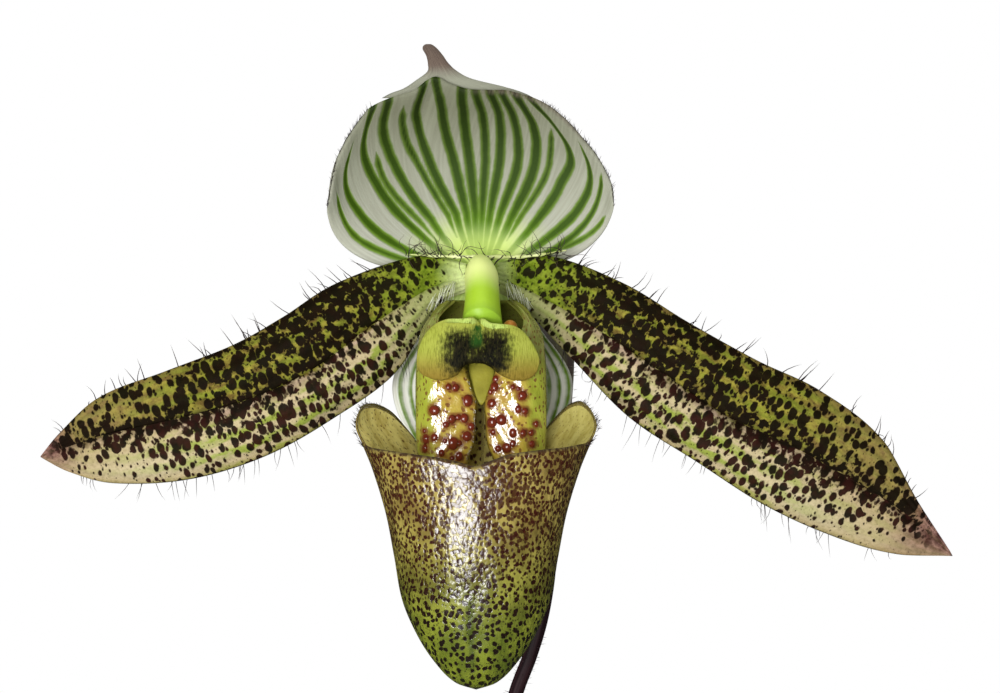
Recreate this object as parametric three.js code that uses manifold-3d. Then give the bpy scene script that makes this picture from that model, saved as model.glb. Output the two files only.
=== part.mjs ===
// A slipper orchid in bloom, growing in bark in a clay pot. Millimetres, +Z up.
// The origin is the middle of the pot's underside, and the flower faces -Y.
import * as THREE from 'three';
import { mergeVertices } from 'three/addons/utils/BufferGeometryUtils.js';
import { ParametricGeometry } from 'three/addons/geometries/ParametricGeometry.js';
import Module from 'manifold-3d';

const wasm = await Module();
wasm.setup();

const { Vector2, Vector3, CatmullRomCurve3 } = THREE;

// Gap between pieces that touch
const GAP = 0.35;

// Clay pot
const POT_HEIGHT = 93;
const POT_FOOT_RADIUS = 36;
const POT_RIM_RADIUS = 53;
const POT_WALL = 5;
const POT_FLOOR = 6.5;
const RIM_BAND_HEIGHT = 20;
const RIM_BAND_STEP = 3;
const DRAIN_HOLE_RADIUS = 5.5;
const DRAIN_HOLE_CIRCLE = 20;

// Bark mix and rootstock
const BARK_TOP = 80;
const CROWN_RADIUS = 11.5;
const CROWN_TOP = 83;
const CROWN_DEPTH = 15;
const CROWN_SHOULDER = 8;
const ROOT_RADIUS = 2.4;
const ROOT_CLEARANCE = 0.6;
const ROOM_ABOVE = 5;
const RHIZOME_RADIUS = 4.5;
const RHIZOME_DEPTH = 9;
const SHOOT_PLACE = [6, -29];
const SHOOT_CROWN_RADIUS = 5.5;
const SHOOT_CROWN_DEPTH = 14;

// Leaves: their bases stand on the crown
const LEAF_FOOT = CROWN_TOP + GAP;
const LEAF_THICKNESS = 1.5;
const LEAF_BASE_FOLD = 45;
const LEAF_BLADE_FOLD = 13;

// Flower: where its parts meet, and the sheet thickness of its parts
const FLOWER = [8, -38, 300];
const PETAL_THICKNESS = 1.1;
const SEPAL_THICKNESS = 1.0;
const SHIELD_THICKNESS = 1.1;
const STIGMA_THICKNESS = 1.0;
const BRACT_THICKNESS = 0.7;
const STALK_FOOT_RADIUS = 1.9;
const STALK_TOP_RADIUS = 1.15;

// The flower's outlines are measured at its own plane, from a viewpoint straight in front.
// A point nearer or further is moved along its line of sight, so that the outline holds.
const VIEW_DISTANCE = 268.9;
const VIEW_CENTRE = [2.42, -8.05];

const radians = THREE.MathUtils.degToRad;
const clamp = THREE.MathUtils.clamp;
const lerp = THREE.MathUtils.lerp;
const smooth = THREE.MathUtils.smoothstep;

// Points of one solid that lie nearer than this are one point
const WELD = 1e-3;

// Value on a smooth curve through [position, value] pairs
function profile(pairs) {
  const points = pairs.map(([x, y]) => new Vector2(x, y));
  return (x) => {
    let i = 1;
    while (i < points.length - 1 && x > points[i].x) i += 1;
    const a = points[i - 1];
    const b = points[i];
    const before = points[Math.max(i - 2, 0)];
    const after = points[Math.min(i + 1, points.length - 1)];
    const span = b.x - a.x;
    const f = clamp((x - a.x) / span, 0, 1);
    const slopeA = i > 1 ? ((b.y - before.y) / (b.x - before.x)) * span : b.y - a.y;
    const slopeB = i < points.length - 1 ? ((after.y - a.y) / (after.x - a.x)) * span : b.y - a.y;
    const f2 = f * f;
    const f3 = f2 * f;
    return (2 * f3 - 3 * f2 + 1) * a.y + (f3 - 2 * f2 + f) * slopeA
      + (3 * f2 - 2 * f3) * b.y + (f3 - f2) * slopeB;
  };
}

// A plane curve through named stations, as two profiles over the same positions
function plotted(stations) {
  const first = profile(stations.map(([t, x]) => [t, x]));
  const second = profile(stations.map(([t, , y]) => [t, y]));
  return (t) => [first(t), second(t)];
}

// Point of the flower, from its outline as seen and its depth behind the flower's plane
function seen(x, z, depth) {
  const k = 1 + depth / VIEW_DISTANCE;
  return new Vector3(
    FLOWER[0] + VIEW_CENTRE[0] + (x - VIEW_CENTRE[0]) * k,
    FLOWER[1] + depth,
    FLOWER[2] + VIEW_CENTRE[1] + (z - VIEW_CENTRE[1]) * k,
  );
}

function flowerPoint(x, depth, z) {
  return new Vector3(FLOWER[0] + x, FLOWER[1] + depth, FLOWER[2] + z);
}

// Closed geometry with shared vertices and faces that point out
function closed(geometry) {
  geometry.deleteAttribute('normal');
  geometry.deleteAttribute('uv');
  const merged = mergeVertices(geometry, WELD);
  const at = merged.getAttribute('position');
  const index = Array.from(merged.index.array);
  const corner = (i) => new Vector3().fromBufferAttribute(at, index[i]);
  let volume = 0;
  for (let i = 0; i < index.length; i += 3) {
    volume += corner(i).dot(corner(i + 1).cross(corner(i + 2)));
  }
  if (volume < 0) merged.setIndex(index.reverse());
  return merged;
}

function solid(geometry) {
  const shape = closed(geometry);
  const mesh = new wasm.Mesh({
    numProp: 3,
    vertProperties: new Float32Array(shape.getAttribute('position').array),
    triVerts: new Uint32Array(shape.index.array),
  });
  return new wasm.Manifold(mesh);
}

function geometryOf(body) {
  const mesh = body.getMesh();
  const geometry = new THREE.BufferGeometry();
  geometry.setAttribute('position', new THREE.BufferAttribute(mesh.vertProperties, 3));
  geometry.setIndex(new THREE.BufferAttribute(mesh.triVerts, 1));
  return geometry;
}

// Thin leaf-like solid: pointAt(s, t) is its middle surface, with s from -1 to 1 across and t from 0 to 1
// along. It is full in the middle and thins out to its margins and both ends.
function sheet(pointAt, thickness, across, along) {
  const step = 1e-3;
  const place = (u, v, target) => {
    const front = u <= 0.5;
    const s = front ? 4 * u - 1 : 3 - 4 * u;
    const middle = pointAt(s, v);
    // The ends are points with no side direction, so the normal there is taken a little way in
    const t = clamp(v, 0.02, 0.97);
    const side = pointAt(Math.min(s + step, 1), t).sub(pointAt(Math.max(s - step, -1), t));
    const ahead = pointAt(s, t + step).sub(pointAt(s, t - step));
    const normal = side.cross(ahead).normalize();
    const body = Math.sqrt(Math.max(1 - s ** 4, 0)) * Math.sqrt(Math.max(1 - (2 * v - 1) ** 8, 0));
    target.copy(middle.addScaledVector(normal, (front ? 0.5 : -0.5) * thickness * body));
  };
  return closed(new ParametricGeometry(place, 2 * across, along));
}

// Round bar along a curve, with flat ends
function bar(points, radiusAt, sides, steps) {
  const curve = new CatmullRomCurve3(points.map((p) => new Vector3(...p)));
  const frames = curve.computeFrenetFrames(steps);
  const place = (u, v, target) => {
    const ring = clamp(Math.round(v * (steps + 2)) - 1, 0, steps);
    const end = v < 0.5 / (steps + 2) || v > 1 - 0.5 / (steps + 2);
    const t = ring / steps;
    const angle = 2 * Math.PI * u;
    const radius = end ? 0 : radiusAt(t, angle);
    curve.getPointAt(t, target);
    target.addScaledVector(frames.normals[ring], radius * Math.cos(angle));
    target.addScaledVector(frames.binormals[ring], radius * Math.sin(angle));
  };
  return closed(new ParametricGeometry(place, sides, steps + 2));
}

function lathe(pairs, segments) {
  const points = pairs.map(([r, z]) => new Vector2(r, z));
  return new THREE.LatheGeometry(points, segments).rotateX(Math.PI / 2);
}

// The pot's inner radius at a height
function potInside(z) {
  const slope = (POT_RIM_RADIUS - RIM_BAND_STEP - POT_FOOT_RADIUS) / POT_HEIGHT;
  return POT_FOOT_RADIUS - POT_WALL + slope * z;
}

function makePot() {
  const bandFoot = POT_HEIGHT - RIM_BAND_HEIGHT;
  const bandRadius = potInside(bandFoot) + POT_WALL + RIM_BAND_STEP;
  const profilePoints = [
    [0, 0],
    [POT_FOOT_RADIUS - 1.5, 0],
    [POT_FOOT_RADIUS, 1.5],
    [potInside(bandFoot) + POT_WALL, bandFoot],
    [bandRadius - 1, bandFoot],
    [bandRadius, bandFoot + 1],
    [POT_RIM_RADIUS, POT_HEIGHT - 2],
    [POT_RIM_RADIUS - 2, POT_HEIGHT],
    [potInside(POT_HEIGHT) + 1.5, POT_HEIGHT],
    [potInside(POT_HEIGHT), POT_HEIGHT - 1.5],
    [potInside(POT_FLOOR + 4), POT_FLOOR + 4],
    [potInside(POT_FLOOR) - 4, POT_FLOOR],
    [0, POT_FLOOR],
  ];
  let pot = solid(lathe(profilePoints, 36));
  for (let hole = 0; hole < 3; hole += 1) {
    const angle = radians(90 + 120 * hole);
    const drill = new THREE.CylinderGeometry(DRAIN_HOLE_RADIUS, DRAIN_HOLE_RADIUS, 3 * POT_FLOOR, 16);
    drill.rotateX(Math.PI / 2);
    drill.translate(DRAIN_HOLE_CIRCLE * Math.cos(angle), DRAIN_HOLE_CIRCLE * Math.sin(angle), 0);
    pot = pot.subtract(solid(drill));
  }
  return geometryOf(pot);
}

// Roots: the way each one leaves the crown, how far it goes out and how deep it ends
const ROOTS = [
  { heading: 200, reach: 27, end: 24, arch: -6 },
  { heading: 320, reach: 30, end: 32, arch: -4 },
  { heading: 75, reach: 27, end: 18, arch: -8 },
  { heading: 135, reach: 32, end: 40, arch: 5 },
  { heading: 245, reach: 31, end: 46, arch: 5.5 },
];

function rootPoints({ heading, reach, end, arch }, clearance) {
  const at = (r, z, turn) => {
    const angle = radians(heading + turn);
    return [r * Math.cos(angle), r * Math.sin(angle), z];
  };
  const start = BARK_TOP - 5;
  return [
    at(CROWN_RADIUS - 4, start, 0),
    at(CROWN_RADIUS + 5, start + arch, 2),
    at(reach * 0.75, start + arch - 1, 8),
    at(reach, lerp(start, end, 0.45), 16),
    at(reach - 3, end - 1.5 * clearance, 30),
  ];
}

// Rhizome with its roots and two crowns, grown as one. A clearance makes the room for it in the bark.
function rootstock(clearance) {
  const top = clearance ? CROWN_TOP + ROOM_ABOVE : CROWN_TOP;
  const crown = (radius, footRadius, depth, segments) => lathe([
    [0, CROWN_TOP - depth - clearance],
    [footRadius + clearance, CROWN_TOP - depth - clearance],
    [radius + clearance, CROWN_TOP - CROWN_SHOULDER],
    [radius + clearance, top],
    [0, top],
  ], segments);
  const [shootX, shootY] = SHOOT_PLACE;
  const rhizome = [
    [0, 0, CROWN_TOP - RHIZOME_DEPTH],
    [shootX * 0.5, shootY * 0.5, CROWN_TOP - RHIZOME_DEPTH - 1],
    [shootX, shootY, CROWN_TOP - RHIZOME_DEPTH],
  ];
  const shootCrown = crown(SHOOT_CROWN_RADIUS, SHOOT_CROWN_RADIUS - 1.5, SHOOT_CROWN_DEPTH, 16);
  let body = solid(crown(CROWN_RADIUS, CROWN_RADIUS * 0.6, CROWN_DEPTH, 24));
  body = body.add(solid(bar(rhizome, () => RHIZOME_RADIUS + clearance, 10, 5)));
  body = body.add(solid(shootCrown.translate(shootX, shootY, 0)));
  for (const root of ROOTS) {
    const radiusAt = (t) => lerp(ROOT_RADIUS, ROOT_RADIUS * 0.7, t) + clearance;
    body = body.add(solid(bar(rootPoints(root, clearance), radiusAt, 7, 10)));
  }
  return body;
}

function makeBark() {
  const profilePoints = [
    [0, POT_FLOOR + GAP],
    [potInside(POT_FLOOR) - 4 - GAP, POT_FLOOR + GAP],
    [potInside(POT_FLOOR + 4) - GAP, POT_FLOOR + 4 + GAP],
    [potInside(BARK_TOP - 2) - GAP, BARK_TOP - 2],
    [potInside(BARK_TOP) * 0.7, BARK_TOP],
    [0, BARK_TOP],
  ];
  return geometryOf(solid(lathe(profilePoints, 36)).subtract(rootstock(ROOT_CLEARANCE)));
}

// Leaf half-width along its length, as a share of the widest
const leafWidth = profile([
  [0, 0], [0.25, 0.42], [0.4, 0.8], [0.58, 1], [0.78, 0.86], [0.92, 0.52], [1, 0],
]);
// Midrib of a low and of an upright leaf: way out and height, as shares of the length
const lowMidrib = plotted([
  [0, 0, 0], [0.1, 0.03, 0.09], [0.28, 0.16, 0.2], [0.52, 0.4, 0.26], [0.78, 0.66, 0.22], [1, 0.87, 0.11],
]);
const highMidrib = plotted([
  [0, 0, 0], [0.1, 0.005, 0.1], [0.28, 0.05, 0.28], [0.52, 0.2, 0.49], [0.78, 0.42, 0.64], [1, 0.64, 0.68],
]);

// One leaf of a fan. offset is how far its foot stands from the middle of the fan, and bow turns it aside.
function makeLeaf({ centre, heading, offset, foot, length, width, rise, bow }) {
  const midribAt = (t) => {
    const low = lowMidrib(t);
    const high = highMidrib(t);
    return new Vector3(
      offset + length * lerp(low[0], high[0], rise),
      bow * length * t * t,
      length * lerp(low[1], high[1], rise),
    );
  };
  const turn = new THREE.Matrix4().makeRotationZ(radians(heading));
  const pointAt = (s, t) => {
    const middle = midribAt(t);
    const along = midribAt(Math.min(t + 0.01, 1)).sub(midribAt(Math.min(t, 0.99))).normalize();
    const across = new Vector3(-along.y, along.x, 0).add(new Vector3(0, 0.02, 0)).normalize();
    const up = new Vector3().crossVectors(along, across).normalize();
    const half = foot * (1 - smooth(t, 0.05, 0.5)) + (width / 2) * leafWidth(t);
    const fold = radians(lerp(LEAF_BASE_FOLD, LEAF_BLADE_FOLD, smooth(t, 0.05, 0.4)));
    middle.addScaledVector(across, s * half * Math.cos(fold));
    const lift = Math.abs(s) * half * Math.sin(fold) * (1 - 0.3 * smooth(t, 0.3, 0.7) * s * s);
    middle.addScaledVector(up, lift);
    return middle.applyMatrix4(turn).add(new Vector3(centre[0], centre[1], LEAF_FOOT));
  };
  return sheet(pointAt, LEAF_THICKNESS, 6, 13);
}

const FAN_LEAVES = [
  { heading: 180, offset: 9, foot: 7.5, length: 150, width: 43, rise: 0, bow: 0.1 },
  { heading: 0, offset: 9, foot: 7.5, length: 158, width: 45, rise: 0.05, bow: 0.08 },
  { heading: 180, offset: 6.4, foot: 6.2, length: 142, width: 42, rise: 0.45, bow: -0.06 },
  { heading: 0, offset: 6.4, foot: 6.2, length: 138, width: 41, rise: 0.42, bow: -0.1 },
  { heading: 180, offset: 4.1, foot: 3.8, length: 112, width: 36, rise: 0.95, bow: 0.05 },
  { heading: 0, offset: 4.1, foot: 3.8, length: 96, width: 32, rise: 1, bow: 0.06 },
];

const SHOOT_LEAVES = [
  { heading: 165, offset: 3.6, foot: 3.4, length: 62, width: 24, rise: 0.2, bow: 0.15 },
  { heading: -15, offset: 3.6, foot: 3.4, length: 56, width: 22, rise: 0.3, bow: -0.15 },
  { heading: 165, offset: 1.3, foot: 2, length: 44, width: 16, rise: 0.9, bow: 0.05 },
];

// The stalk's way up: the last three stations are where it is seen behind the pouch
const STALK_WAY = [
  [0, 0, CROWN_TOP + GAP],
  [-0.2, 0.1, 100],
  [-1.8, 0.8, 132],
  [-0.2, 1.5, 180],
  [7, 1, 222],
  [12.6, 0.2, 244],
  [16.1, 0, 254],
  [20, -0.6, 272],
];

// The ovary arches from the stalk's top to the back of the flower
const OVARY_WAY = [
  [20, -0.6, 272.65],
  [20.3, -2.5, 283],
  [18, -11, 294.5],
  [12, -23, 299.8],
  [8.8, -30.5, 300.3],
  [FLOWER[0] + 0.2, FLOWER[1] + 3.5, FLOWER[2]],
];

function makeStalk() {
  const radiusAt = (t) => lerp(STALK_FOOT_RADIUS, STALK_TOP_RADIUS, smooth(t, 0, 0.9));
  return bar(STALK_WAY, radiusAt, 8, 20);
}

function makeOvary() {
  const girth = profile([[0, 1.25], [0.2, 1.6], [0.5, 2.3], [0.85, 2.2], [1, 2.4]]);
  const ribs = (t, angle) => girth(t) * (1 + 0.06 * Math.cos(6 * angle));
  return bar(OVARY_WAY, ribs, 18, 12);
}

// The bract clasps the ovary's foot from behind: its foot, its length and the radius that it wraps round
const BRACT_FOOT = [20.2, -0.9, 269.5];
const BRACT_LENGTH = 18;
const BRACT_WRAP = 2.4;
// It stands behind and to the left, so that the pouch hides it from the front
const BRACT_TURN = -0.785;
const bractHalf = profile([[0, 2.2], [0.35, 3], [0.75, 1.8], [1, 0]]);
const bractLean = profile([[0, -0.2], [0.4, 0.65], [0.75, 0.3], [1, -0.4]]);

function makeBract() {
  const [footX, footY, footZ] = BRACT_FOOT;
  const pointAt = (s, t) => {
    const angle = BRACT_TURN + (s * bractHalf(t)) / BRACT_WRAP;
    const x = footX + bractLean(t) * Math.sin(BRACT_TURN) + BRACT_WRAP * Math.sin(angle);
    const y = footY + bractLean(t) * Math.cos(BRACT_TURN) + BRACT_WRAP * Math.cos(angle);
    return new Vector3(x, y, footZ + BRACT_LENGTH * t);
  };
  return sheet(pointAt, BRACT_THICKNESS, 8, 8);
}

// Dorsal sepal. It is drawn by its veins: each leaves the narrow base, bows out and ends on the margin.
// t runs round the fan from the lower left vein to the lower right one.
const SEPAL_BASE_HALF = 1.6;
const SEPAL_BASE_HEIGHT = 0.7;
const SEPAL_BASE_DEPTH = 1.9;
const TIP_VEIN = -0.15;
const veinBow = plotted([
  [-1, -18.2, 0.3], [-0.5, -15.6, 7.6], [-0.2, -10, 12.2], [0.1, -0.3, 13.5],
  [0.4, 7.5, 11.9], [0.7, 13.8, 8.2], [1, 14.6, 1.3],
]);
const veinEnd = plotted([
  [-1, -18.5, 8.7], [-0.75, -17.2, 14.9], [-0.5, -14.2, 20], [-0.35, -9.6, 22.8],
  [-0.25, -6.5, 27.8], [-0.14, -2.8, 24.6], [0.15, 3.9, 23.1], [0.42, 8.6, 20.95],
  [0.68, 13.2, 16.3], [0.86, 15.7, 12.1], [1, 16.2, 8.8],
]);

// The hood leans back and then forward again, most of all at the tip and least at the two sides
function dorsalPoint(t, s) {
  const [bowX, bowZ] = veinBow(t);
  const [endX, endZ] = veinEnd(t);
  const a = (1 - s) ** 2;
  const b = 2 * s * (1 - s);
  const c = s * s;
  const crown = Math.cos((Math.PI / 2) * clamp(t - TIP_VEIN, -1, 1)) ** 2;
  const depth = SEPAL_BASE_DEPTH + lerp(2.6, 12.5, crown) * s - lerp(4.6, 15.5, crown) * s ** 2.2;
  const x = a * SEPAL_BASE_HALF * t + b * bowX + c * endX;
  const z = a * SEPAL_BASE_HEIGHT + b * bowZ + c * endZ;
  return seen(x, z, depth);
}

function makeDorsalSepal() {
  return sheet((s, t) => dorsalPoint(s, t), SEPAL_THICKNESS, 16, 8);
}

// Synsepal: two joined sepals that hang behind the pouch
const SYNSEPAL_LENGTH = 29.5;
const synsepalHalf = profile([[0, 1.4], [0.15, 6.4], [0.38, 10.8], [0.6, 9.2], [0.85, 3.6], [1, 0]]);

function makeSynsepal() {
  const pointAt = (s, t) => {
    const bow = 5.2 * Math.sin(Math.PI * t * 0.8);
    const cup = 2.4 * s * s * Math.sin(Math.PI * t);
    const x = 0.3 + s * synsepalHalf(t);
    return seen(x, -SEPAL_BASE_HEIGHT - SYNSEPAL_LENGTH * t, SEPAL_BASE_DEPTH + bow - cup);
  };
  return sheet(pointAt, SEPAL_THICKNESS, 8, 12);
}

// Petals: midrib, upper margin, lower margin and depth along the petal
const LEFT_PETAL = {
  midrib: plotted([
    [0, -1.6, 0.3], [0.1, -6, -1], [0.25, -13.5, -5.8], [0.4, -20.5, -11], [0.55, -28, -14.4],
    [0.7, -36.5, -16.7], [0.85, -45, -18.6], [0.95, -50, -20.2], [1, -53.2, -21.4],
  ]),
  upper: plotted([
    [0, -1.6, 2], [0.1, -7.2, 2.95], [0.25, -17.2, -0.3], [0.4, -23.9, -4.5], [0.55, -30, -7.9],
    [0.7, -38, -11], [0.85, -46.1, -14.2], [0.95, -50.9, -18.6], [1, -53.2, -21.4],
  ]),
  lower: plotted([
    [0, -1.6, -1.4], [0.1, -5.2, -3.3], [0.25, -10.2, -11.2], [0.4, -17.8, -16.8], [0.55, -25.9, -21.3],
    [0.7, -35, -24.1], [0.85, -44.3, -24.6], [0.95, -49.8, -23.2], [1, -53.2, -21.4],
  ]),
  depth: profile([[0, 0.9], [0.12, -0.6], [0.4, -3.6], [0.65, -1.6], [0.85, 3], [1, 7.5]]),
};

const RIGHT_PETAL = {
  midrib: plotted([
    [0, 2, 0.4], [0.1, 6, -1.4], [0.25, 13.5, -5.6], [0.4, 21.5, -10.8], [0.55, 29.5, -16.3],
    [0.7, 37.5, -20], [0.85, 46, -24.7], [0.95, 52.5, -29], [1, 57.2, -33.4],
  ]),
  upper: plotted([
    [0, 2, 2.1], [0.1, 8, 3], [0.25, 17.2, -0.3], [0.4, 25.2, -5.1], [0.55, 33.5, -9.7],
    [0.7, 41.2, -13.4], [0.85, 48.9, -19.1], [0.95, 54.2, -26.8], [1, 57.2, -33.4],
  ]),
  lower: plotted([
    [0, 2, -1.4], [0.1, 5.2, -3.3], [0.25, 11, -9.4], [0.4, 18, -16.6], [0.55, 26.2, -22],
    [0.7, 34.5, -27.3], [0.85, 43.2, -31.2], [0.95, 50.5, -33.2], [1, 57.2, -33.4],
  ]),
  depth: profile([[0, 0.9], [0.12, -0.6], [0.4, -3], [0.65, -2.4], [0.85, 0.2], [1, 4]]),
};

function makePetal(petal) {
  const pointAt = (s, t) => {
    const from = petal.midrib(t);
    const to = s < 0 ? petal.upper(t) : petal.lower(t);
    const k = Math.abs(s);
    const bulge = 1.1 * Math.sin(Math.PI * k) * Math.sin(Math.PI * t);
    const curl = 1.6 * k * k * smooth(t, 0, 0.3) * (1 - smooth(t, 0.8, 1));
    return seen(lerp(from[0], to[0], k), lerp(from[1], to[1], k), petal.depth(t) - bulge + curl);
  };
  return sheet(pointAt, PETAL_THICKNESS, 6, 18);
}

// Lip: the pouch. Half-width, half-depth and middle by height
const POUCH_BOTTOM = -47.1;
const POUCH_WALL = 1.1;
const POUCH_MEAN_RADIUS = 11;
const pouchHalf = profile([
  [-47.1, 0], [-46.2, 2.45], [-44, 4.7], [-41, 6.7], [-37, 8.45], [-32, 9.4], [-27, 10.4],
  [-22, 11.95], [-19.2, 13.1], [-17.2, 13.85], [-14.5, 13.5],
]);
const pouchDepth = profile([
  [-47.1, 0], [-46.2, 2.8], [-44, 4.9], [-41, 6.7], [-37, 8.2], [-32, 9.2], [-27, 9.6],
  [-22, 9.7], [-14.5, 10],
]);
const pouchMiddle = profile([[-47.1, -16], [-38, -15.2], [-28, -14.6], [-20, -14.2], [-14.5, -14]]);
// Height of the mouth's edge, by the angle from the front: a low front, an ear on each side, a low back
const mouthEdge = profile([
  [0, -21.2], [9, -20.6], [17, -20.15], [36, -19.75], [65, -19.3], [76, -19.05], [84, -18],
  [92, -16.8], [98, -16], [106, -15.1], [118, -14.35], [126, -14.75], [132, -15.4],
  [139, -16.6], [146, -18.3], [152, -20], [180, -20.6],
]);

function pouchPoint(angle, v, inside) {
  const turn = Math.abs(((angle + 540) % 360) - 180);
  const rim = mouthEdge(turn);
  const rise = v ** 1.7;
  const z = lerp(POUCH_BOTTOM, rim, rise);
  const keep = inside ? 1 - POUCH_WALL / POUCH_MEAN_RADIUS : 1;
  const x = -0.3 + keep * pouchHalf(z) * Math.sin(radians(angle));
  const depth = pouchMiddle(z) - keep * pouchDepth(z) * Math.cos(radians(angle));
  return flowerPoint(x, depth, z + (inside ? POUCH_WALL * (1 - rise) : 0));
}

function makePouch() {
  const place = (u, v, target) => {
    const inside = v > 0.5;
    target.copy(pouchPoint(360 * u, inside ? 2 - 2 * v : 2 * v, inside));
  };
  return solid(new ParametricGeometry(place, 30, 19));
}

// Claw and side lobes: an upright tube, open in front, that runs down into the pouch's back
const LOBE_TOP = -2.5;
const LOBE_BOTTOM = -25;
const LOBE_WALL = 0.9;
const lobeHalf = profile([[-25, 6.6], [-20, 7.4], [-14, 7.6], [-9, 7.5], [-6, 7], [-4, 5.6], [-2.5, 3.8]]);
const lobeBack = profile([[-25, -5.3], [-20, -4.9], [-9, -2.6], [-2.5, -0.7]]);
const lobeFront = profile([[-25, -12.6], [-20, -13.4], [-14, -13.1], [-9, -12], [-5, -8.6], [-2.5, -5]]);
const lobeSlot = profile([
  [-25, 2.2], [-21, 1.3], [-14.5, 0.4], [-10, 1.9], [-8, 3.2], [-6, 4.6], [-4, 4.6], [-2.5, 3.2],
]);

function lobePath(z) {
  const half = lobeHalf(z);
  const back = lobeBack(z);
  const front = lobeFront(z);
  const slot = lobeSlot(z);
  const side = [
    [half * 0.45, back - 0.2],
    [half * 0.88, back - 1.6],
    [half, lerp(back, front, 0.5)],
    [half * 0.93, front + 1.8],
    [(half + slot) / 2, front],
    [slot, front + 0.7],
  ];
  const points = [...side.map(([x, y]) => [-x, y]).reverse(), [0, back], ...side];
  return new CatmullRomCurve3(points.map(([x, y]) => new Vector3(x, y, 0)));
}

function makeLobes() {
  const rows = 10;
  const steps = 16;
  const ring = 2 * steps + 2;
  const paths = [];
  for (let row = 0; row <= rows; row += 1) paths.push(lobePath(lerp(LOBE_BOTTOM, LOBE_TOP, row / rows)));
  const place = (u, v, target) => {
    const row = clamp(Math.round(v * (rows + 2)) - 1, 0, rows);
    const end = v < 0.5 / (rows + 2) || v > 1 - 0.5 / (rows + 2);
    const corner = Math.round(u * ring) % ring;
    const outer = corner <= steps;
    const w = (outer ? corner : ring - 1 - corner) / steps;
    const point = paths[row].getPoint(w);
    const tangent = paths[row].getTangent(w);
    const shift = end ? 0.5 : outer ? 0 : 1;
    point.addScaledVector(new Vector3(-tangent.y, tangent.x, 0), -shift * LOBE_WALL);
    target.copy(flowerPoint(point.x + 0.2, point.y, lerp(LOBE_BOTTOM, LOBE_TOP, row / rows)));
  };
  return solid(new ParametricGeometry(place, ring, rows + 2));
}

function makeLip() {
  return geometryOf(makePouch().add(makeLobes()));
}

// Column: a short stout stalk that bends forward and down to the staminode
const COLUMN_WAY = [[0.3, -0.2, 0.6], [0.3, -4, 0.2], [0.3, -7.8, -2], [0.3, -11.3, -5.4]];

function makeColumn() {
  const way = COLUMN_WAY.map(([x, y, z]) => flowerPoint(x, y, z).toArray());
  const girth = profile([[0, 2.2], [0.15, 1.7], [0.4, 1.75], [0.8, 2.05], [1, 2.2]]);
  return bar(way, (t) => girth(t), 14, 8);
}

// Staminode: a shield with a notch above and two lobes below, given by its upper and lower edge
const STAMINODE_SPAN = [-7.05, 6.85];
const shieldTop = profile([
  [-7.05, -9.8], [-6.85, -8.3], [-6.2, -6.8], [-5, -5.7], [-3.8, -5.2], [-1.8, -5.1], [-0.6, -4.75],
  [0.2, -5.15], [1, -4.85], [2.3, -5.3], [4, -5.7], [5.1, -6.4], [6, -7.5], [6.6, -8.7], [6.85, -9.8],
]);
const shieldFoot = profile([
  [-7.05, -9.8], [-6.85, -10.9], [-5.9, -11.6], [-4.3, -11.95], [-2.5, -11.3], [-1.5, -10.2], [0.2, -10],
  [1.1, -10.3], [2.3, -11.2], [3.9, -11.9], [5.4, -11.9], [6.5, -11.1], [6.85, -9.8],
]);

function makeStaminode() {
  const [left, right] = STAMINODE_SPAN;
  const pointAt = (s, t) => {
    const x = lerp(left, right, (1 - Math.cos(Math.PI * t)) / 2);
    const z = lerp(shieldFoot(x), shieldTop(x), (s + 1) / 2);
    const depth = -14.3 + 0.03 * (x - 0.3) ** 2 + 0.045 * (z + 10) ** 2;
    return flowerPoint(x, depth, z);
  };
  return sheet(pointAt, SHIELD_THICKNESS, 5, 16);
}

// Stigma: a narrow plate behind the staminode's notch that comes forward between the lip's lobes
function makeStigma() {
  const half = profile([[0, 1], [0.3, 1.35], [0.6, 1.15], [0.85, 0.6], [1, 0]]);
  const pointAt = (s, t) => {
    const depth = -9.3 - 3.2 * t + 0.5 * s * s * (1 - t);
    return flowerPoint(0.3 + s * half(t), depth, -6.9 - 6.2 * t);
  };
  return sheet(pointAt, STIGMA_THICKNESS, 6, 8);
}

function makeAnther(x) {
  const pollen = new THREE.SphereGeometry(1, 10, 6);
  pollen.scale(0.85, 1.1, 0.9);
  const centre = flowerPoint(x, -10.2, -5.2);
  return closed(pollen.translate(centre.x, centre.y, centre.z));
}

// Anther masses: one on each side of the column, behind the staminode's upper edge
const ANTHER_SIDES = { anther_left: -3.2, anther_right: 3.8 };

const parts = [];

function add(name, geometry, colour, roughness) {
  const material = new THREE.MeshStandardMaterial({ color: colour, roughness, metalness: 0, name });
  const mesh = new THREE.Mesh(geometry, material);
  mesh.name = name;
  parts.push(mesh);
}

add('pot', makePot(), 0xb5643c, 0.9);
add('bark_mix', makeBark(), 0x5b3d26, 0.95);
add('rootstock', geometryOf(rootstock(0)), 0x8a6a45, 0.9);
FAN_LEAVES.forEach((leaf, i) => {
  add(`leaf_${i + 1}`, makeLeaf({ centre: [0, 0], ...leaf }), 0x3f6a3a, 0.5);
});
SHOOT_LEAVES.forEach((leaf, i) => {
  add(`shoot_leaf_${i + 1}`, makeLeaf({ centre: SHOOT_PLACE, ...leaf }), 0x4f7c42, 0.5);
});
add('flower_stalk', makeStalk(), 0x2b161d, 0.7);
add('bract', makeBract(), 0x6f7a3a, 0.7);
add('ovary', makeOvary(), 0x4a3a33, 0.7);
add('dorsal_sepal', makeDorsalSepal(), 0xd5dccb, 0.55);
add('synsepal', makeSynsepal(), 0xcfdcc4, 0.55);
add('petal_left', makePetal(LEFT_PETAL), 0x7d8f3a, 0.45);
add('petal_right', makePetal(RIGHT_PETAL), 0x7d8f3a, 0.45);
add('lip', makeLip(), 0x8c8a35, 0.35);
add('column', makeColumn(), 0xa6d23c, 0.4);
add('staminode', makeStaminode(), 0x9aa83a, 0.6);
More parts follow.
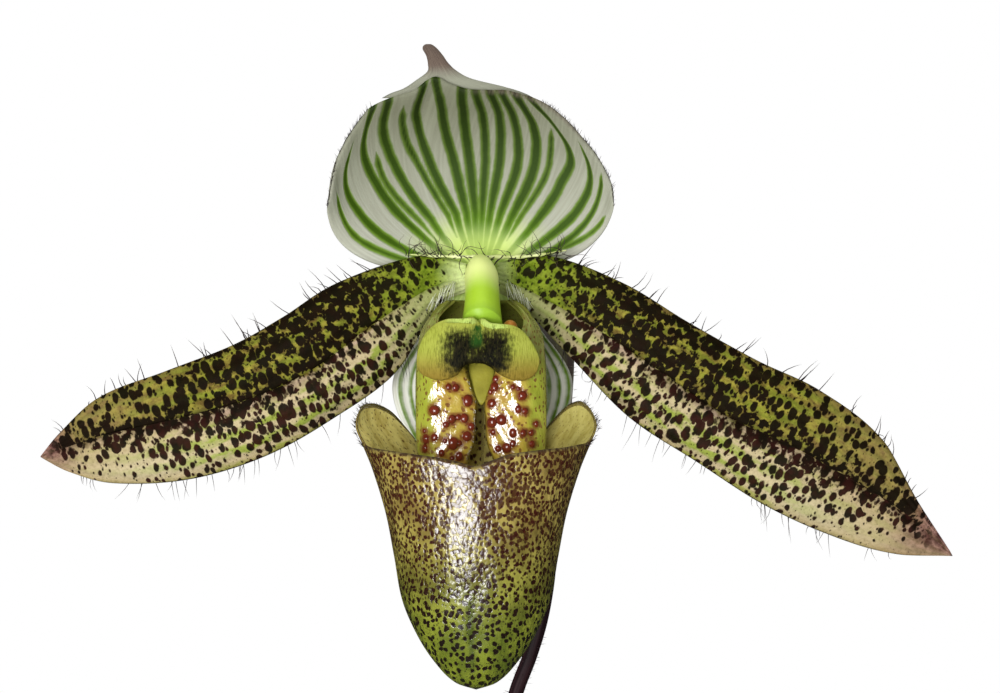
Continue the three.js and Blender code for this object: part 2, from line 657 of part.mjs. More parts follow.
add('stigma', makeStigma(), 0xa8ad3c, 0.4);
for (const [name, x] of Object.entries(ANTHER_SIDES)) add(name, makeAnther(x), 0xa86a2c, 0.5);

const orchid = new THREE.Group();
orchid.add(...parts);

export default orchid;
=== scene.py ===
# A slipper orchid in bloom, growing in bark in a clay pot. Metres, except where a name says millimetres.
import math

import bpy
import numpy as np
from mathutils import Matrix, Vector


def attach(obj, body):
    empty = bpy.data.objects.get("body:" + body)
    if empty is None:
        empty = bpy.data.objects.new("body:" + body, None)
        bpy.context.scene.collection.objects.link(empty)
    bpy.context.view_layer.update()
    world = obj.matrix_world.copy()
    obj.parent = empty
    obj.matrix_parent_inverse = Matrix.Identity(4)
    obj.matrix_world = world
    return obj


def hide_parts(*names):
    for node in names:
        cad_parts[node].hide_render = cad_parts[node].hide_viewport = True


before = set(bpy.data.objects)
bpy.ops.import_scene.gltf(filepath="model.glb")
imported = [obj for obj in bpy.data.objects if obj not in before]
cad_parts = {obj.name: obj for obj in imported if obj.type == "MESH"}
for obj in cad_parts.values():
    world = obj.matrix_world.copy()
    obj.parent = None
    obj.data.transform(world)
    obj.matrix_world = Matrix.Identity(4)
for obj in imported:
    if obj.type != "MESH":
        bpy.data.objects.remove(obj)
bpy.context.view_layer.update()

MM = 0.001
BODY = "root"
# Edges sharper than this stay sharp, and hairs are only merged where their points meet
CREASE = math.radians(35)
HAIR_WELD = 1e-9

# Where the flower's parts meet, and the viewpoint that its outlines are measured from, in millimetres
FLOWER = np.array([8.0, -38.0, 300.0])
VIEW_DISTANCE = 268.9
VIEW_CENTRE = (2.42, -8.05)


# Curves and places

def profile(pairs):
    """A smooth curve through [position, value] pairs"""
    xs, ys = np.array(pairs, float).T
    slopes = np.empty_like(ys)
    slopes[1:-1] = (ys[2:] - ys[:-2]) / (xs[2:] - xs[:-2])
    slopes[0] = (ys[1] - ys[0]) / (xs[1] - xs[0])
    slopes[-1] = (ys[-1] - ys[-2]) / (xs[-1] - xs[-2])

    def at(x):
        x = np.asarray(x, float)
        i = np.clip(np.searchsorted(xs, x) - 1, 0, len(xs) - 2)
        span = xs[i + 1] - xs[i]
        f = np.clip((x - xs[i]) / span, 0, 1)
        rise = 3 * f**2 - 2 * f**3
        ends = (1 - rise) * ys[i] + rise * ys[i + 1]
        return ends + span * ((f - 2 * f**2 + f**3) * slopes[i] + (f**3 - f**2) * slopes[i + 1])

    return at


def plotted(stations):
    """A plane curve through [position, x, z] stations"""
    first = profile([(t, x) for t, x, z in stations])
    second = profile([(t, z) for t, x, z in stations])
    return lambda t: (first(t), second(t))


def joined(*columns):
    """Points, or other sets of three or two numbers, from their columns"""
    return np.stack(columns, axis=-1)


def smooth(x, low, high):
    f = np.clip((x - low) / (high - low), 0, 1)
    return f * f * (3 - 2 * f)


def lerp(a, b, f):
    return a + (b - a) * f


def hill(x, middle, width):
    return np.exp(-(((x - middle) / width) ** 2))


def seen(x, z, depth):
    """Places in metres of points of the flower, from their outline as seen and their depth"""
    k = 1 + depth / VIEW_DISTANCE
    world_x = FLOWER[0] + VIEW_CENTRE[0] + (x - VIEW_CENTRE[0]) * k
    world_z = FLOWER[2] + VIEW_CENTRE[1] + (z - VIEW_CENTRE[1]) * k
    return joined(world_x, FLOWER[1] + depth, world_z) * MM


def flower_point(x, depth, z):
    """Places in metres of points given beside, behind and above the flower's middle"""
    x, depth, z = np.broadcast_arrays(x, depth, z)
    return (joined(x, depth, z) + FLOWER) * MM


def unit(vectors):
    return vectors / np.maximum(np.linalg.norm(vectors, axis=-1, keepdims=True), 1e-12)


# Meshes

def pick(piece):
    """Selects one piece and nothing else"""
    bpy.ops.object.select_all(action="DESELECT")
    bpy.context.view_layer.objects.active = piece
    piece.select_set(True)


def solid(name, points, faces, edges=()):
    """A new piece of points in metres, joined by faces or by edges"""
    mesh = bpy.data.meshes.new(name)
    mesh.from_pydata(points, edges, faces)
    piece = bpy.data.objects.new(name, mesh)
    bpy.context.scene.collection.objects.link(piece)
    return piece


def close(piece, weld=2e-6):
    """Merges the seams and tips of a mesh and turns its faces out"""
    pick(piece)
    bpy.ops.object.mode_set(mode="EDIT")
    bpy.ops.mesh.select_all(action="SELECT")
    bpy.ops.mesh.remove_doubles(threshold=weld)
    bpy.ops.mesh.normals_make_consistent(inside=False)
    bpy.ops.object.mode_set(mode="OBJECT")
    bpy.ops.object.shade_smooth()
    return piece


def note(piece, name, values):
    """Stores one number, or one vector, for each point of a mesh"""
    values = np.asarray(values, float)
    kind = "FLOAT_VECTOR" if values.ndim == 2 else "FLOAT"
    made = piece.data.attributes.new(name, kind, "POINT")
    made.data.foreach_set("vector" if values.ndim == 2 else "value", values.ravel())


def grid(name, columns, rows, place):
    """A sheet of faces. place(u, v) gives its points and what is noted there, with u and v from 0 to 1"""
    bpy.ops.object.select_all(action="DESELECT")
    bpy.ops.mesh.primitive_grid_add(x_subdivisions=columns, y_subdivisions=rows, size=1)
    piece = bpy.context.object
    piece.name = name
    piece.data.name = name
    at = np.empty(3 * len(piece.data.vertices))
    piece.data.vertices.foreach_get("co", at)
    u, v = np.clip(at.reshape(-1, 3)[:, :2].T + 0.5, 0, 1)
    points, notes = place(u, v)
    piece.data.vertices.foreach_set("co", points.ravel())
    for key, values in notes.items():
        note(piece, key, values)
    return close(piece)


def facing(point_at, s, t):
    """Normals of a surface of two positions, turned to face the viewer in front of the flower"""
    step = 1e-3
    near_foot, near_tip = 0.01, 0.985
    inner = np.clip(t, near_foot, near_tip)
    side = point_at(np.minimum(s + step, 1), inner) - point_at(np.maximum(s - step, -1), inner)
    ahead = point_at(s, inner + step) - point_at(s, inner - step)
    normal = unit(np.cross(side, ahead))
    return -normal if normal[:, 1].mean() > 0 else normal


def sheet(name, point_at, thickness, across, along, notes_at, blunt=6, upward=False):
    """A leaf-like piece, closed all round and thinned at its margins: the blunter, the later it thins.

    point_at(s, t) is its middle, with s from -1 to 1 across and t from 0 to 1 along."""
    end_blunt = 16

    def place(u, v):
        front = u <= 0.5
        s = np.where(front, 4 * u - 1, 3 - 4 * u)
        normal = facing(point_at, s, v)
        if upward and normal[:, 2].mean() < 0:
            normal = -normal
        body = np.sqrt(np.maximum(1 - np.abs(s) ** blunt, 0))
        body = body * np.sqrt(np.maximum(1 - np.abs(2 * v - 1) ** end_blunt, 0))
        offset = np.where(front, 0.5, -0.5) * thickness * MM * body
        notes = {"across": s, "along": v, "front": front.astype(float)}
        notes.update(notes_at(s, v))
        return point_at(s, v) + offset[:, None] * normal, notes

    return grid(name, 2 * across, along, place)


def way_points(way, count):
    """Evenly spaced places and directions along a curve of points, and its length"""
    way = np.array(way, float)
    lengths = np.concatenate([[0], np.cumsum(np.linalg.norm(np.diff(way, axis=0), axis=1))])
    curves = [profile(list(zip(lengths / lengths[-1], way[:, axis]))) for axis in range(3)]
    places = np.stack([curve(np.linspace(0, 1, count)) for curve in curves], axis=-1)
    return places, unit(np.gradient(places, axis=0)), lengths[-1]


def bar(name, way, radius_at, sides, steps):
    """A round bar along a curve of points in millimetres"""
    middles, ahead, length = way_points(way, steps + 1)
    first = np.empty_like(middles)
    guide = np.array([0.0, 1.0, 0.0]) if abs(ahead[0][1]) < 0.9 else np.array([1.0, 0.0, 0.0])
    for i, direction in enumerate(ahead):
        guide = guide - direction * guide.dot(direction)
        guide = guide / np.linalg.norm(guide)
        first[i] = guide
    second = np.cross(ahead, first)

    def place(u, v):
        ring = np.clip(np.round(v * (steps + 2)).astype(int) - 1, 0, steps)
        capped = (v < 0.5 / (steps + 2)) | (v > 1 - 0.5 / (steps + 2))
        t = ring / steps
        angle = 2 * math.pi * u
        radius = np.where(capped, 0, radius_at(t, angle))
        out = np.cos(angle)[:, None] * first[ring] + np.sin(angle)[:, None] * second[ring]
        girth = joined(np.cos(angle), np.sin(angle), t * length)
        return (middles[ring] + radius[:, None] * out) * MM, {"along": t, "round": girth}

    return grid(name, sides, steps + 2, place)


def hairs(name, roots, ways, lengths, radius, bend, curls=None, parts=3):
    """Tapered hairs in one mesh, each three-sided and bent. Lengths, radius and bend are in millimetres.

    curls holds how many turns each hair swings through, and where in its swing it starts."""
    taper, swing_share = 0.75, 0.14
    roots, ways, bend = np.asarray(roots, float), unit(np.asarray(ways, float)), np.asarray(bend, float)
    lengths = np.asarray(lengths, float) * MM
    count = len(roots)
    side = unit(np.cross(ways, [0.31, 0.62, 0.72]))
    other = np.cross(ways, side)
    rings = []
    for part in range(parts + 1):
        f = part / parts
        middle = roots + ways * (lengths * f)[:, None] + bend * MM * f**2
        if curls is not None:
            swing = np.sin(2 * math.pi * f * curls[:, 0] + curls[:, 1]) - np.sin(curls[:, 1])
            middle = middle + side * (swing * lengths * swing_share)[:, None]
        if part == parts:
            rings.append(middle[:, None, :])
            continue
        thick = radius * MM * (1 - taper * f)
        angles = np.arange(3) * 2 * math.pi / 3
        ring = [middle + thick * (math.cos(a) * side + math.sin(a) * other) for a in angles]
        rings.append(np.stack(ring, axis=1))
    points = np.concatenate(rings, axis=1)
    size = points.shape[1]
    faces = [(2, 1, 0)]
    for part in range(parts - 1):
        for i in range(3):
            a, b = 3 * part + i, 3 * part + (i + 1) % 3
            faces.append((a, b, b + 3, a + 3))
    last = 3 * (parts - 1)
    faces += [(last + i, last + (i + 1) % 3, size - 1) for i in range(3)]
    every = [tuple(k * size + corner for corner in face) for k in range(count) for face in faces]
    piece = solid(name, points.reshape(-1, 3).tolist(), every)
    along = np.concatenate([np.repeat(np.arange(parts) / parts, 3), [1]])
    note(piece, "along", np.tile(along, count))
    return close(piece, weld=HAIR_WELD)


def belong(piece, finish, slot, *nodes):
    """Gives a piece its finish, hangs it on the body and hides the parts that it stands in for"""
    piece.data.materials.clear()
    piece.data.materials.append(finish)
    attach(piece, BODY)
    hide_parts(*nodes)


def line_inside(piece, lining):
    """Gives the inner faces of a hollow piece a finish of their own"""
    piece.data.materials.append(lining)
    inner = np.array([item.value for item in piece.data.attributes["inner"].data])
    for face in piece.data.polygons:
        if inner[list(face.vertices)].mean() > 0.5:
            face.material_index = 1


# Finishes

def colour(red, green, blue):
    """A node colour from display values of 0 to 255"""
    def linear(value):
        value /= 255
        return value / 12.92 if value <= 0.04045 else ((value + 0.055) / 1.055) ** 2.4

    return (linear(red), linear(green), linear(blue), 1)


class Nodes:
    """Adds nodes to a material or a node group"""

    def __init__(self, tree, shader=None):
        self.tree = tree
        self.shader = shader

    def put(self, socket, value):
        if isinstance(value, bpy.types.NodeSocket):
            self.tree.links.new(value, socket)
        else:
            socket.default_value = value

    def show(self, socket, value):
        """Sets or links one of the shader's own sockets"""
        self.put(self.shader.inputs[socket], value)

    def add(self, kind, sockets=None, **settings):
        node = self.tree.nodes.new("ShaderNode" + kind)
        for name, value in settings.items():
            setattr(node, name, value)
        for socket, value in (sockets or {}).items():
            self.put(node.inputs[socket], value)
        return node

    def math(self, operation, a, b=0.0, c=0.0):
        return self.add("Math", {0: a, 1: b, 2: c}, operation=operation).outputs[0]

    def plus(self, a, b):
        return self.math("ADD", a, b)

    def less(self, a, b):
        return self.math("SUBTRACT", a, b)

    def times(self, a, b):
        return self.math("MULTIPLY", a, b)

    def line(self, value, slope, start):
        """A value times its slope, plus its start"""
        return self.math("MULTIPLY_ADD", value, slope, start)

    def most(self, a, b):
        """The greater of two values"""
        return self.math("MAXIMUM", a, b)

    def size(self, value):
        """A value without its sign"""
        return self.math("ABSOLUTE", value)

    def wave(self, value):
        return self.math("SINE", value)

    def move(self, where, by):
        return self.add("VectorMath", {0: where, 1: by}, operation="ADD").outputs[0]

    def mix(self, share, a, b, blend="MIX"):
        sockets = {0: share, 6: a, 7: b}
        return self.add("Mix", sockets, data_type="RGBA", blend_type=blend).outputs[2]

    def step(self, value, low, high, to_low=0.0, to_high=1.0):
        """A smooth step from one value to another"""
        sockets = {0: value, 1: low, 2: high, 3: to_low, 4: to_high}
        return self.add("MapRange", sockets, interpolation_type="SMOOTHSTEP").outputs[0]

    def noise(self, where, scale, detail=2.0, roughness=0.5):
        sockets = {"Vector": where, "Scale": scale, "Detail": detail, "Roughness": roughness}
        return self.add("TexNoise", sockets).outputs[0]

    def stretched(self, where, x, y, z):
        return self.add("Mapping", {"Vector": where, "Scale": (x, y, z)}).outputs[0]

    def number(self, name):
        """A value noted on the mesh"""
        return self.add("Attribute", attribute_name=name).outputs["Fac"]

    def vector(self, name):
        """A place noted on the mesh, mostly where its surface lies when spread flat, in millimetres"""
        return self.add("Attribute", attribute_name=name).outputs["Vector"]

    def place(self):
        return self.add("TexCoord").outputs["Object"]

    def use(self, group, **values):
        node = self.add("Group")
        node.node_tree = group
        for name, value in values.items():
            self.put(node.inputs[name], value)
        return node.outputs[0]

    def bump(self, height, strength, distance, normal=None):
        sockets = {"Height": height, "Strength": strength, "Distance": distance * MM}
        if normal is not None:
            sockets["Normal"] = normal
        return self.add("Bump", sockets).outputs[0]


def group(name, inputs, output, build):
    """A node group with named inputs, each with its starting value, and one output"""
    tree = bpy.data.node_groups.new(name, "ShaderNodeTree")
    for key, value in inputs.items():
        kind = "NodeSocketVector" if isinstance(value, tuple) else "NodeSocketFloat"
        tree.interface.new_socket(key, in_out="INPUT", socket_type=kind).default_value = value
    tree.interface.new_socket(output, in_out="OUTPUT", socket_type="NodeSocketFloat")
    nodes = Nodes(tree)
    entry = tree.nodes.new("NodeGroupInput").outputs
    result = build(nodes, {key: entry[key] for key in inputs})
    tree.links.new(result, tree.nodes.new("NodeGroupOutput").inputs[0])
    return tree


def build_spots(nodes, given):
    """Pigment spots of uneven size, ragged at the edge, with some missing"""
    wander = nodes.noise(given["Where"], nodes.times(given["Scale"], 1.7), 2)
    shift = nodes.times(nodes.less(wander, 0.5), given["Ragged"])
    bend_scale = nodes.times(given["Scale"], 0.6)
    sockets = {"Vector": given["Where"], "Scale": bend_scale, "Detail": 2.0}
    bend = nodes.add("TexNoise", sockets).outputs["Color"]
    bend = nodes.add("VectorMath", {0: bend, 1: (0.5, 0.5, 0.5)}, operation="SUBTRACT").outputs[0]
    reach = nodes.math("DIVIDE", nodes.times(given["Ragged"], 2.4), given["Scale"])
    bend = nodes.add("VectorMath", {0: bend, "Scale": reach}, operation="SCALE").outputs[0]
    moved = nodes.move(given["Where"], bend)
    sockets = {"Vector": moved, "Scale": given["Scale"], "Smoothness": 0.12}
    cells = nodes.add("TexVoronoi", sockets, voronoi_dimensions="2D", feature="SMOOTH_F1")
    chance = nodes.add("SeparateColor", {0: cells.outputs["Color"]}).outputs[0]
    share = nodes.line(chance, 0.4, nodes.step(chance, 0.12, 0.16, -0.5, 0.75))
    size = nodes.times(given["Size"], share)
    room = nodes.less(size, nodes.plus(cells.outputs["Distance"], shift))
    return nodes.step(room, nodes.times(given["Soft"], -1), given["Soft"])


SPOTS = group(
    "pigment spots",
    {"Where": (0, 0, 0), "Scale": 1.0, "Size": 0.3, "Ragged": 0.25, "Soft": 0.05},
    "Spots",
    build_spots,
)


def build_skin(nodes, given):
    """The fine cell texture of living tissue, as a height"""
    cells = nodes.add("TexVoronoi", {"Vector": given["Where"], "Scale": given["Scale"]})
    waves = nodes.noise(given["Where"], nodes.times(given["Scale"], 0.2), 3)
    return nodes.line(waves, 1.5, nodes.times(cells.outputs["Distance"], -0.6))


SKIN = group("living skin", {"Where": (0, 0, 0), "Scale": 4000.0}, "Height", build_skin)


def finish(name, roughness, **uniform):
    """A new material and its nodes, with the shader's even values set"""
    made = bpy.data.materials.new(name)
    made.use_nodes = True
    shader = made.node_tree.nodes["Principled BSDF"]
    shader.inputs["Roughness"].default_value = roughness
    for key, value in uniform.items():
        shader.inputs[key.replace("_", " ")].default_value = value
    return made, Nodes(made.node_tree, shader)


def show_skin(nodes, scale, strength, distance, under=None):
    """Ends a finish of living tissue: its fine skin, over any coarser relief"""
    grain = nodes.use(SKIN, Where=nodes.place(), Scale=scale)
    nodes.show("Normal", nodes.bump(grain, strength, distance, under))


def petal_ground(nodes, edge, lower, beat, pink, fine):
    """A petal's colours under its pigment: olive above the rib, pale with green veins below it"""
    flat, across, along = nodes.vector("flat"), nodes.number("across"), nodes.number("along")
    veined = nodes.noise(nodes.stretched(flat, 0.45, 1.3, 1.0), 0.8, 3, 0.6)
    vein = nodes.step(nodes.line(nodes.wave(beat), 0.13, veined), 0.38, 0.68)
    cloud = nodes.step(nodes.noise(nodes.stretched(flat, 0.6, 1.0, 1.0), 0.9, 3, 0.6), 0.38, 0.62)
    outer = nodes.step(along, 0.62, 0.92)
    above = nodes.mix(cloud, colour(104, 86, 40), colour(150, 142, 56))
    above = nodes.mix(nodes.times(vein, 0.6), above, colour(108, 126, 32))
    above = nodes.mix(nodes.times(outer, 0.6), above, colour(146, 124, 80))
    below = nodes.mix(vein, colour(188, 172, 134), colour(144, 156, 66))
    below = nodes.mix(nodes.times(pink, 0.5), below, colour(198, 164, 150))
    # Painted sheen: the lower half lightens towards the tip, where a whitish highlight lies
    below = nodes.mix(nodes.times(nodes.number("pale"), 0.5), below, colour(214, 210, 176))
    below = nodes.mix(nodes.times(outer, 0.7), below, colour(176, 156, 116))
    ground = nodes.mix(lower, above, below)
    rib = nodes.step(nodes.size(edge), 0.02, 0.22, 0.5, 0)
    ground = nodes.mix(nodes.times(rib, nodes.step(along, 0.3, 0.55)), ground, colour(84, 62, 42))
    margin = nodes.step(nodes.size(across), 0.8, 0.98)
    ground = nodes.mix(nodes.times(margin, 0.5), ground, colour(138, 116, 66))
    fresh = nodes.mix(cloud, colour(92, 112, 22), colour(126, 144, 38))
    fresh = nodes.mix(nodes.step(edge, -0.05, 0.25), fresh, colour(150, 156, 98))
    ground = nodes.mix(nodes.number("base"), ground, fresh)
    # Painted glow: the petal's foot turns pale lime, for light shining through the flower's middle
    ground = nodes.mix(nodes.number("glow"), ground, colour(236, 250, 178))
    tip_ground = nodes.mix(cloud, colour(92, 58, 54), colour(150, 114, 102))
    ground = nodes.mix(nodes.number("tip"), ground, tip_ground)
    return nodes.mix(nodes.step(fine, 0.4, 0.8, 0, 0.4), ground, colour(130, 116, 60), "MULTIPLY")


def petal_marks(nodes, pink, glow_wash, blots):
    """A petal's pigment: spots of three sizes, each pattern moved aside from the last, and blots"""
    shape, spot, base = nodes.vector("blot"), nodes.number("spot"), nodes.number("base")
    cluster = nodes.line(nodes.noise(nodes.vector("flat"), 0.42, 2), 0.7, -0.35)
    # Spots thin out at the foot, and where the painted glow washes them out
    worn = nodes.line(base, 0.14, glow_wash)
    size = nodes.less(nodes.plus(nodes.times(spot, 0.41), cluster), worn)
    first = nodes.use(SPOTS, Where=shape, Scale=0.76, Size=size, Ragged=0.24, Soft=0.06)
    aside = nodes.move(shape, (57, -23, 0))
    size = nodes.less(nodes.line(cluster, 0.8, nodes.line(spot, 0.26, -0.03)), worn)
    second = nodes.use(SPOTS, Where=aside, Scale=0.98, Size=size, Ragged=0.26, Soft=0.07)
    aside = nodes.move(shape, (31, 17, 0))
    size = nodes.less(nodes.line(pink, 0.2, nodes.line(spot, 0.15, -0.05)), glow_wash)
    size = nodes.line(base, 0.08, size)
    small = nodes.use(SPOTS, Where=aside, Scale=1.5, Size=size, Ragged=0.4, Soft=0.1)
    marks = nodes.most(nodes.most(nodes.most(first, second), blots), nodes.times(small, 0.85))
    return nodes.times(marks, nodes.step(nodes.number("along"), 0.955, 0.995, 1, 0))


def petal_finish():
    made, nodes = finish("spotted petal", 0.6, Specular_IOR_Level=0.05)
    flat, across, base = nodes.vector("flat"), nodes.number("across"), nodes.number("base")
    edge = nodes.line(nodes.less(nodes.noise(flat, 0.55, 3, 0.6), 0.5), 0.6, across)
    lower = nodes.step(edge, -0.04, 0.12)
    beat = nodes.line(across, 24.0, nodes.times(nodes.noise(flat, 0.16, 2), 6.0))
    pink = nodes.step(nodes.size(nodes.less(across, 0.16)), 0.03, 0.14, 1, 0)
    fine = nodes.noise(flat, 2.4, 4, 0.6)
    ground = petal_ground(nodes, edge, lower, beat, pink, fine)

    # The painted glow washes out the spots and blots under it
    glow_wash = nodes.times(nodes.number("glow"), 0.6)
    mottle = nodes.noise(nodes.stretched(nodes.vector("blot"), 0.75, 1.0, 1.0), 1.15, 2.5, 0.5)
    room = nodes.less(nodes.less(mottle, nodes.number("limit")), glow_wash)
    pigment = petal_marks(nodes, pink, glow_wash, nodes.step(room, -0.015, 0.03))
    haze = nodes.step(room, -0.1, 0.03)
    ground = nodes.mix(nodes.times(haze, 0.5), ground, colour(70, 60, 26))
    red = nodes.step(nodes.noise(flat, 0.7, 2), 0.35, 0.7)
    dark = nodes.mix(nodes.times(red, nodes.plus(lower, 0.2)), colour(16, 11, 5), colour(42, 13, 11))
    dark = nodes.mix(nodes.times(base, 0.3), dark, colour(34, 38, 8))
    skin = nodes.mix(nodes.times(pigment, 0.98), ground, dark)
    under = nodes.less(1.0, nodes.number("front"))
    skin = nodes.mix(nodes.times(under, 0.3), skin, colour(150, 150, 100))
    nodes.show("Base Color", skin)
    nodes.show("Roughness", nodes.line(pigment, 0.1, nodes.line(fine, 0.2, 0.5)))
    ridged = nodes.bump(nodes.wave(beat), 0.35, 0.25)
    show_skin(nodes, 3200.0, 0.35, 0.08, nodes.bump(pigment, 0.5, 0.12, ridged))
    return made


def sepal_finish(name, low_white, painted_shade_white):
    """Green stripes on a white, with painted shade that darkens both high up and a painted glow that lightens
    both at the base
    """
    made, nodes = finish(name, 0.6, Specular_IOR_Level=0.12)
    flat = nodes.vector("flat")
    wander = nodes.times(nodes.less(nodes.noise(flat, 0.8, 3), 0.5), 0.22)
    room = nodes.plus(nodes.number("stripe"), wander)
    glow, tip, shade = nodes.number("glow"), nodes.number("tip"), nodes.number("shade")
    # Painted glow at the sepal's base, for light shining through the flower's middle: it fades the stripes
    # and lightens the white and the green
    bright = nodes.step(glow, 0.3, 1.0)
    stripe = nodes.times(nodes.step(room, -0.2, 0.12), nodes.line(bright, -0.6, 1.0))
    core = nodes.step(room, 0.02, 0.44)
    streak = nodes.noise(nodes.stretched(nodes.vector("fan"), 60, 3, 1), 1.0, 3)
    # Painted shade: the white, and below it the green, are darker high up, where the hood faces down
    white = nodes.mix(shade, low_white, painted_shade_white)
    white = nodes.mix(nodes.step(streak, 0.3, 0.7, 0.5, 0), white, colour(214, 210, 206), "MULTIPLY")
    white = nodes.mix(glow, white, colour(214, 236, 128))
    green = nodes.mix(shade, colour(58, 88, 4), colour(32, 46, 8))
    green = nodes.mix(core, nodes.mix(shade, colour(108, 140, 46), colour(74, 92, 36)), green)
    green = nodes.mix(glow, green, colour(96, 140, 22))
    skin = nodes.mix(stripe, white, green)
    tip_ground = nodes.mix(nodes.step(streak, 0.4, 0.6), colour(78, 64, 58), colour(116, 102, 90))
    skin = nodes.mix(tip, skin, tip_ground)
    nodes.show("Base Color", skin)
    grooved = nodes.bump(nodes.times(stripe, -1), 0.4, 0.16)
    show_skin(nodes, 3000.0, 0.25, 0.08, grooved)
    return made


def pouch_finish():
    """Glossy, tan above and green below, with fine and coarse dark speckles"""
    made, nodes = finish("speckled pouch", 0.3, IOR=1.85)
    flat = nodes.vector("flat")
    low, rim = nodes.number("low"), nodes.number("rim")
    cloud = nodes.step(nodes.noise(flat, 0.22, 3), 0.35, 0.65)
    warm = nodes.mix(cloud, colour(128, 108, 52), colour(170, 152, 78))
    fresh = nodes.mix(cloud, colour(88, 100, 24), colour(130, 140, 40))
    ground = nodes.mix(low, warm, fresh)
    ground = nodes.mix(nodes.times(nodes.number("groove"), 0.75), ground, colour(52, 68, 20))
    tall = nodes.stretched(flat, 1.0, 0.8, 1.0)
    thick = nodes.line(nodes.noise(flat, 0.3, 2), 0.6, -0.3)
    fine_size = nodes.plus(nodes.line(low, -0.34, 0.46), thick)
    fine_size = nodes.line(nodes.number("crowd"), 0.1, fine_size)
    fine = nodes.use(SPOTS, Where=tall, Scale=2.2, Size=fine_size, Ragged=0.4, Soft=0.1)
    coarse_size = nodes.line(low, 0.1, 0.27)
    coarse = nodes.use(SPOTS, Where=flat, Scale=1.25, Size=coarse_size, Ragged=0.5, Soft=0.07)
    marks = nodes.most(nodes.times(fine, nodes.line(low, -0.15, 0.9)), coarse)
    marks = nodes.times(marks, nodes.less(1.0, nodes.number("brim")))
    red = nodes.mix(low, colour(62, 22, 10), colour(24, 11, 3))
    skin = nodes.mix(marks, ground, red)
    skin = nodes.mix(nodes.times(rim, 0.75), skin, colour(70, 58, 30))
    nodes.show("Base Color", skin)
    swell = nodes.noise(nodes.stretched(flat, 1.0, 0.6, 1.0), 0.6, 2)
    cells = nodes.add("TexVoronoi", {"Vector": tall, "Scale": 2.0}, voronoi_dimensions="2D")
    dome = nodes.times(nodes.math("POWER", cells.outputs["Distance"], 2.0), -1)
    polish = nodes.step(swell, 0.3, 0.75, 0.22, 0.29)
    nodes.show("Roughness", nodes.line(rim, 0.4, polish))
    waved = nodes.bump(swell, 1.0, 0.4)
    domed = nodes.bump(dome, 1.0, 0.05, waved)
    sunk = nodes.bump(nodes.times(marks, -1), 0.5, 0.05, domed)
    show_skin(nodes, 3600.0, 0.3, 0.04, sunk)
    return made


def lining_finish():
    """The matte inner side of the pouch and of the lobes, blotched below and plain on the ears, with painted
    shade in the lobes' upper recess and on the right ear, and its deep wall painted lighter to make up for
    the shade inside
    """
    made, nodes = finish("lip lining", 0.6, Specular_IOR_Level=0.2)
    flat, plain = nodes.vector("flat"), nodes.number("plain")
    cloud = nodes.step(nodes.noise(nodes.stretched(flat, 1.0, 0.5, 1.0), 0.5, 4, 0.65), 0.32, 0.62)
    # The deep wall's olive is painted lighter, to make up for the shade inside the pouch and behind the slot
    lightened_deep = nodes.mix(cloud, colour(206, 190, 100), colour(230, 216, 128))
    ground = nodes.mix(plain, lightened_deep, nodes.mix(cloud, colour(180, 160, 82), colour(222, 208, 126)))
    # Painted shade: darker olive, with fewer marks, in the lobes' upper recess and on the right ear
    ground = nodes.mix(nodes.number("dusk"), ground, colour(112, 116, 44))
    size = nodes.line(plain, -0.22, nodes.line(nodes.number("dusk"), -0.3, 0.32))
    marks = nodes.use(SPOTS, Where=flat, Scale=1.2, Size=size, Ragged=0.4, Soft=0.12)
    dust = nodes.use(SPOTS, Where=flat, Scale=1.5, Size=0.12, Ragged=0.2, Soft=0.08)
    marks = nodes.most(marks, nodes.times(dust, nodes.line(plain, -0.3, 0.8)))
    nodes.show("Base Color", nodes.mix(marks, ground, colour(84, 48, 30)))
    show_skin(nodes, 2600.0, 0.3, 0.06)
    return made


def lobe_finish():
    """The glossy front of the side lobes, lime outside and gold inwards, rusty round the warts"""
    made, nodes = finish("side lobe panel", 0.2, IOR=2.3)
    flat = nodes.vector("flat")
    inward, shoulder, halo = nodes.number("inward"), nodes.number("shoulder"), nodes.number("halo")
    cloud = nodes.noise(flat, 0.5, 3)
    lime = nodes.mix(cloud, colour(152, 164, 42), colour(184, 190, 72))
    gold = nodes.mix(cloud, colour(180, 154, 50), colour(206, 182, 78))
    ground = nodes.mix(nodes.step(inward, 0.15, 0.75), lime, gold)
    rust = nodes.step(nodes.noise(flat, 0.62, 3), 0.48, 0.72)
    rust = nodes.times(rust, nodes.step(inward, 0.35, 0.9, 0, 0.5))
    ground = nodes.mix(rust, ground, colour(176, 116, 58))
    ground = nodes.mix(nodes.times(halo, 0.85), ground, colour(124, 62, 32))
    ground = nodes.mix(shoulder, ground, nodes.mix(cloud, colour(128, 134, 58), colour(160, 168, 88)))
    freckles = nodes.use(SPOTS, Where=flat, Scale=1.1, Size=0.2, Ragged=0.5, Soft=0.06)
    blotches = nodes.use(SPOTS, Where=flat, Scale=0.8, Size=0.36, Ragged=0.6, Soft=0.12)
    blotches = nodes.times(blotches, nodes.times(shoulder, 0.3))
    marks = nodes.most(freckles, blotches)
    skin = nodes.mix(nodes.times(marks, 0.8), ground, colour(112, 52, 34))
    nodes.show("Base Color", skin)
    ripple = nodes.noise(nodes.stretched(flat, 1.0, 0.7, 1.0), 0.85, 3, 0.6)
    nodes.show("Roughness", nodes.step(ripple, 0.3, 0.7, 0.14, 0.26))
    show_skin(nodes, 2400.0, 0.25, 0.06, nodes.bump(ripple, 1.0, 0.22))
    return made


def wart_finish():
    made, nodes = finish("wart", 0.16, IOR=1.6)
    height = nodes.number("height")
    cloud = nodes.noise(nodes.place(), 1600, 2)
    top = nodes.mix(cloud, colour(124, 50, 30), colour(86, 28, 18))
    nodes.show("Base Color", nodes.mix(nodes.step(height, -0.3, 0.4), colour(122, 50, 30), top))
    nodes.show("Normal", nodes.bump(cloud, 0.3, 0.2))
    return made


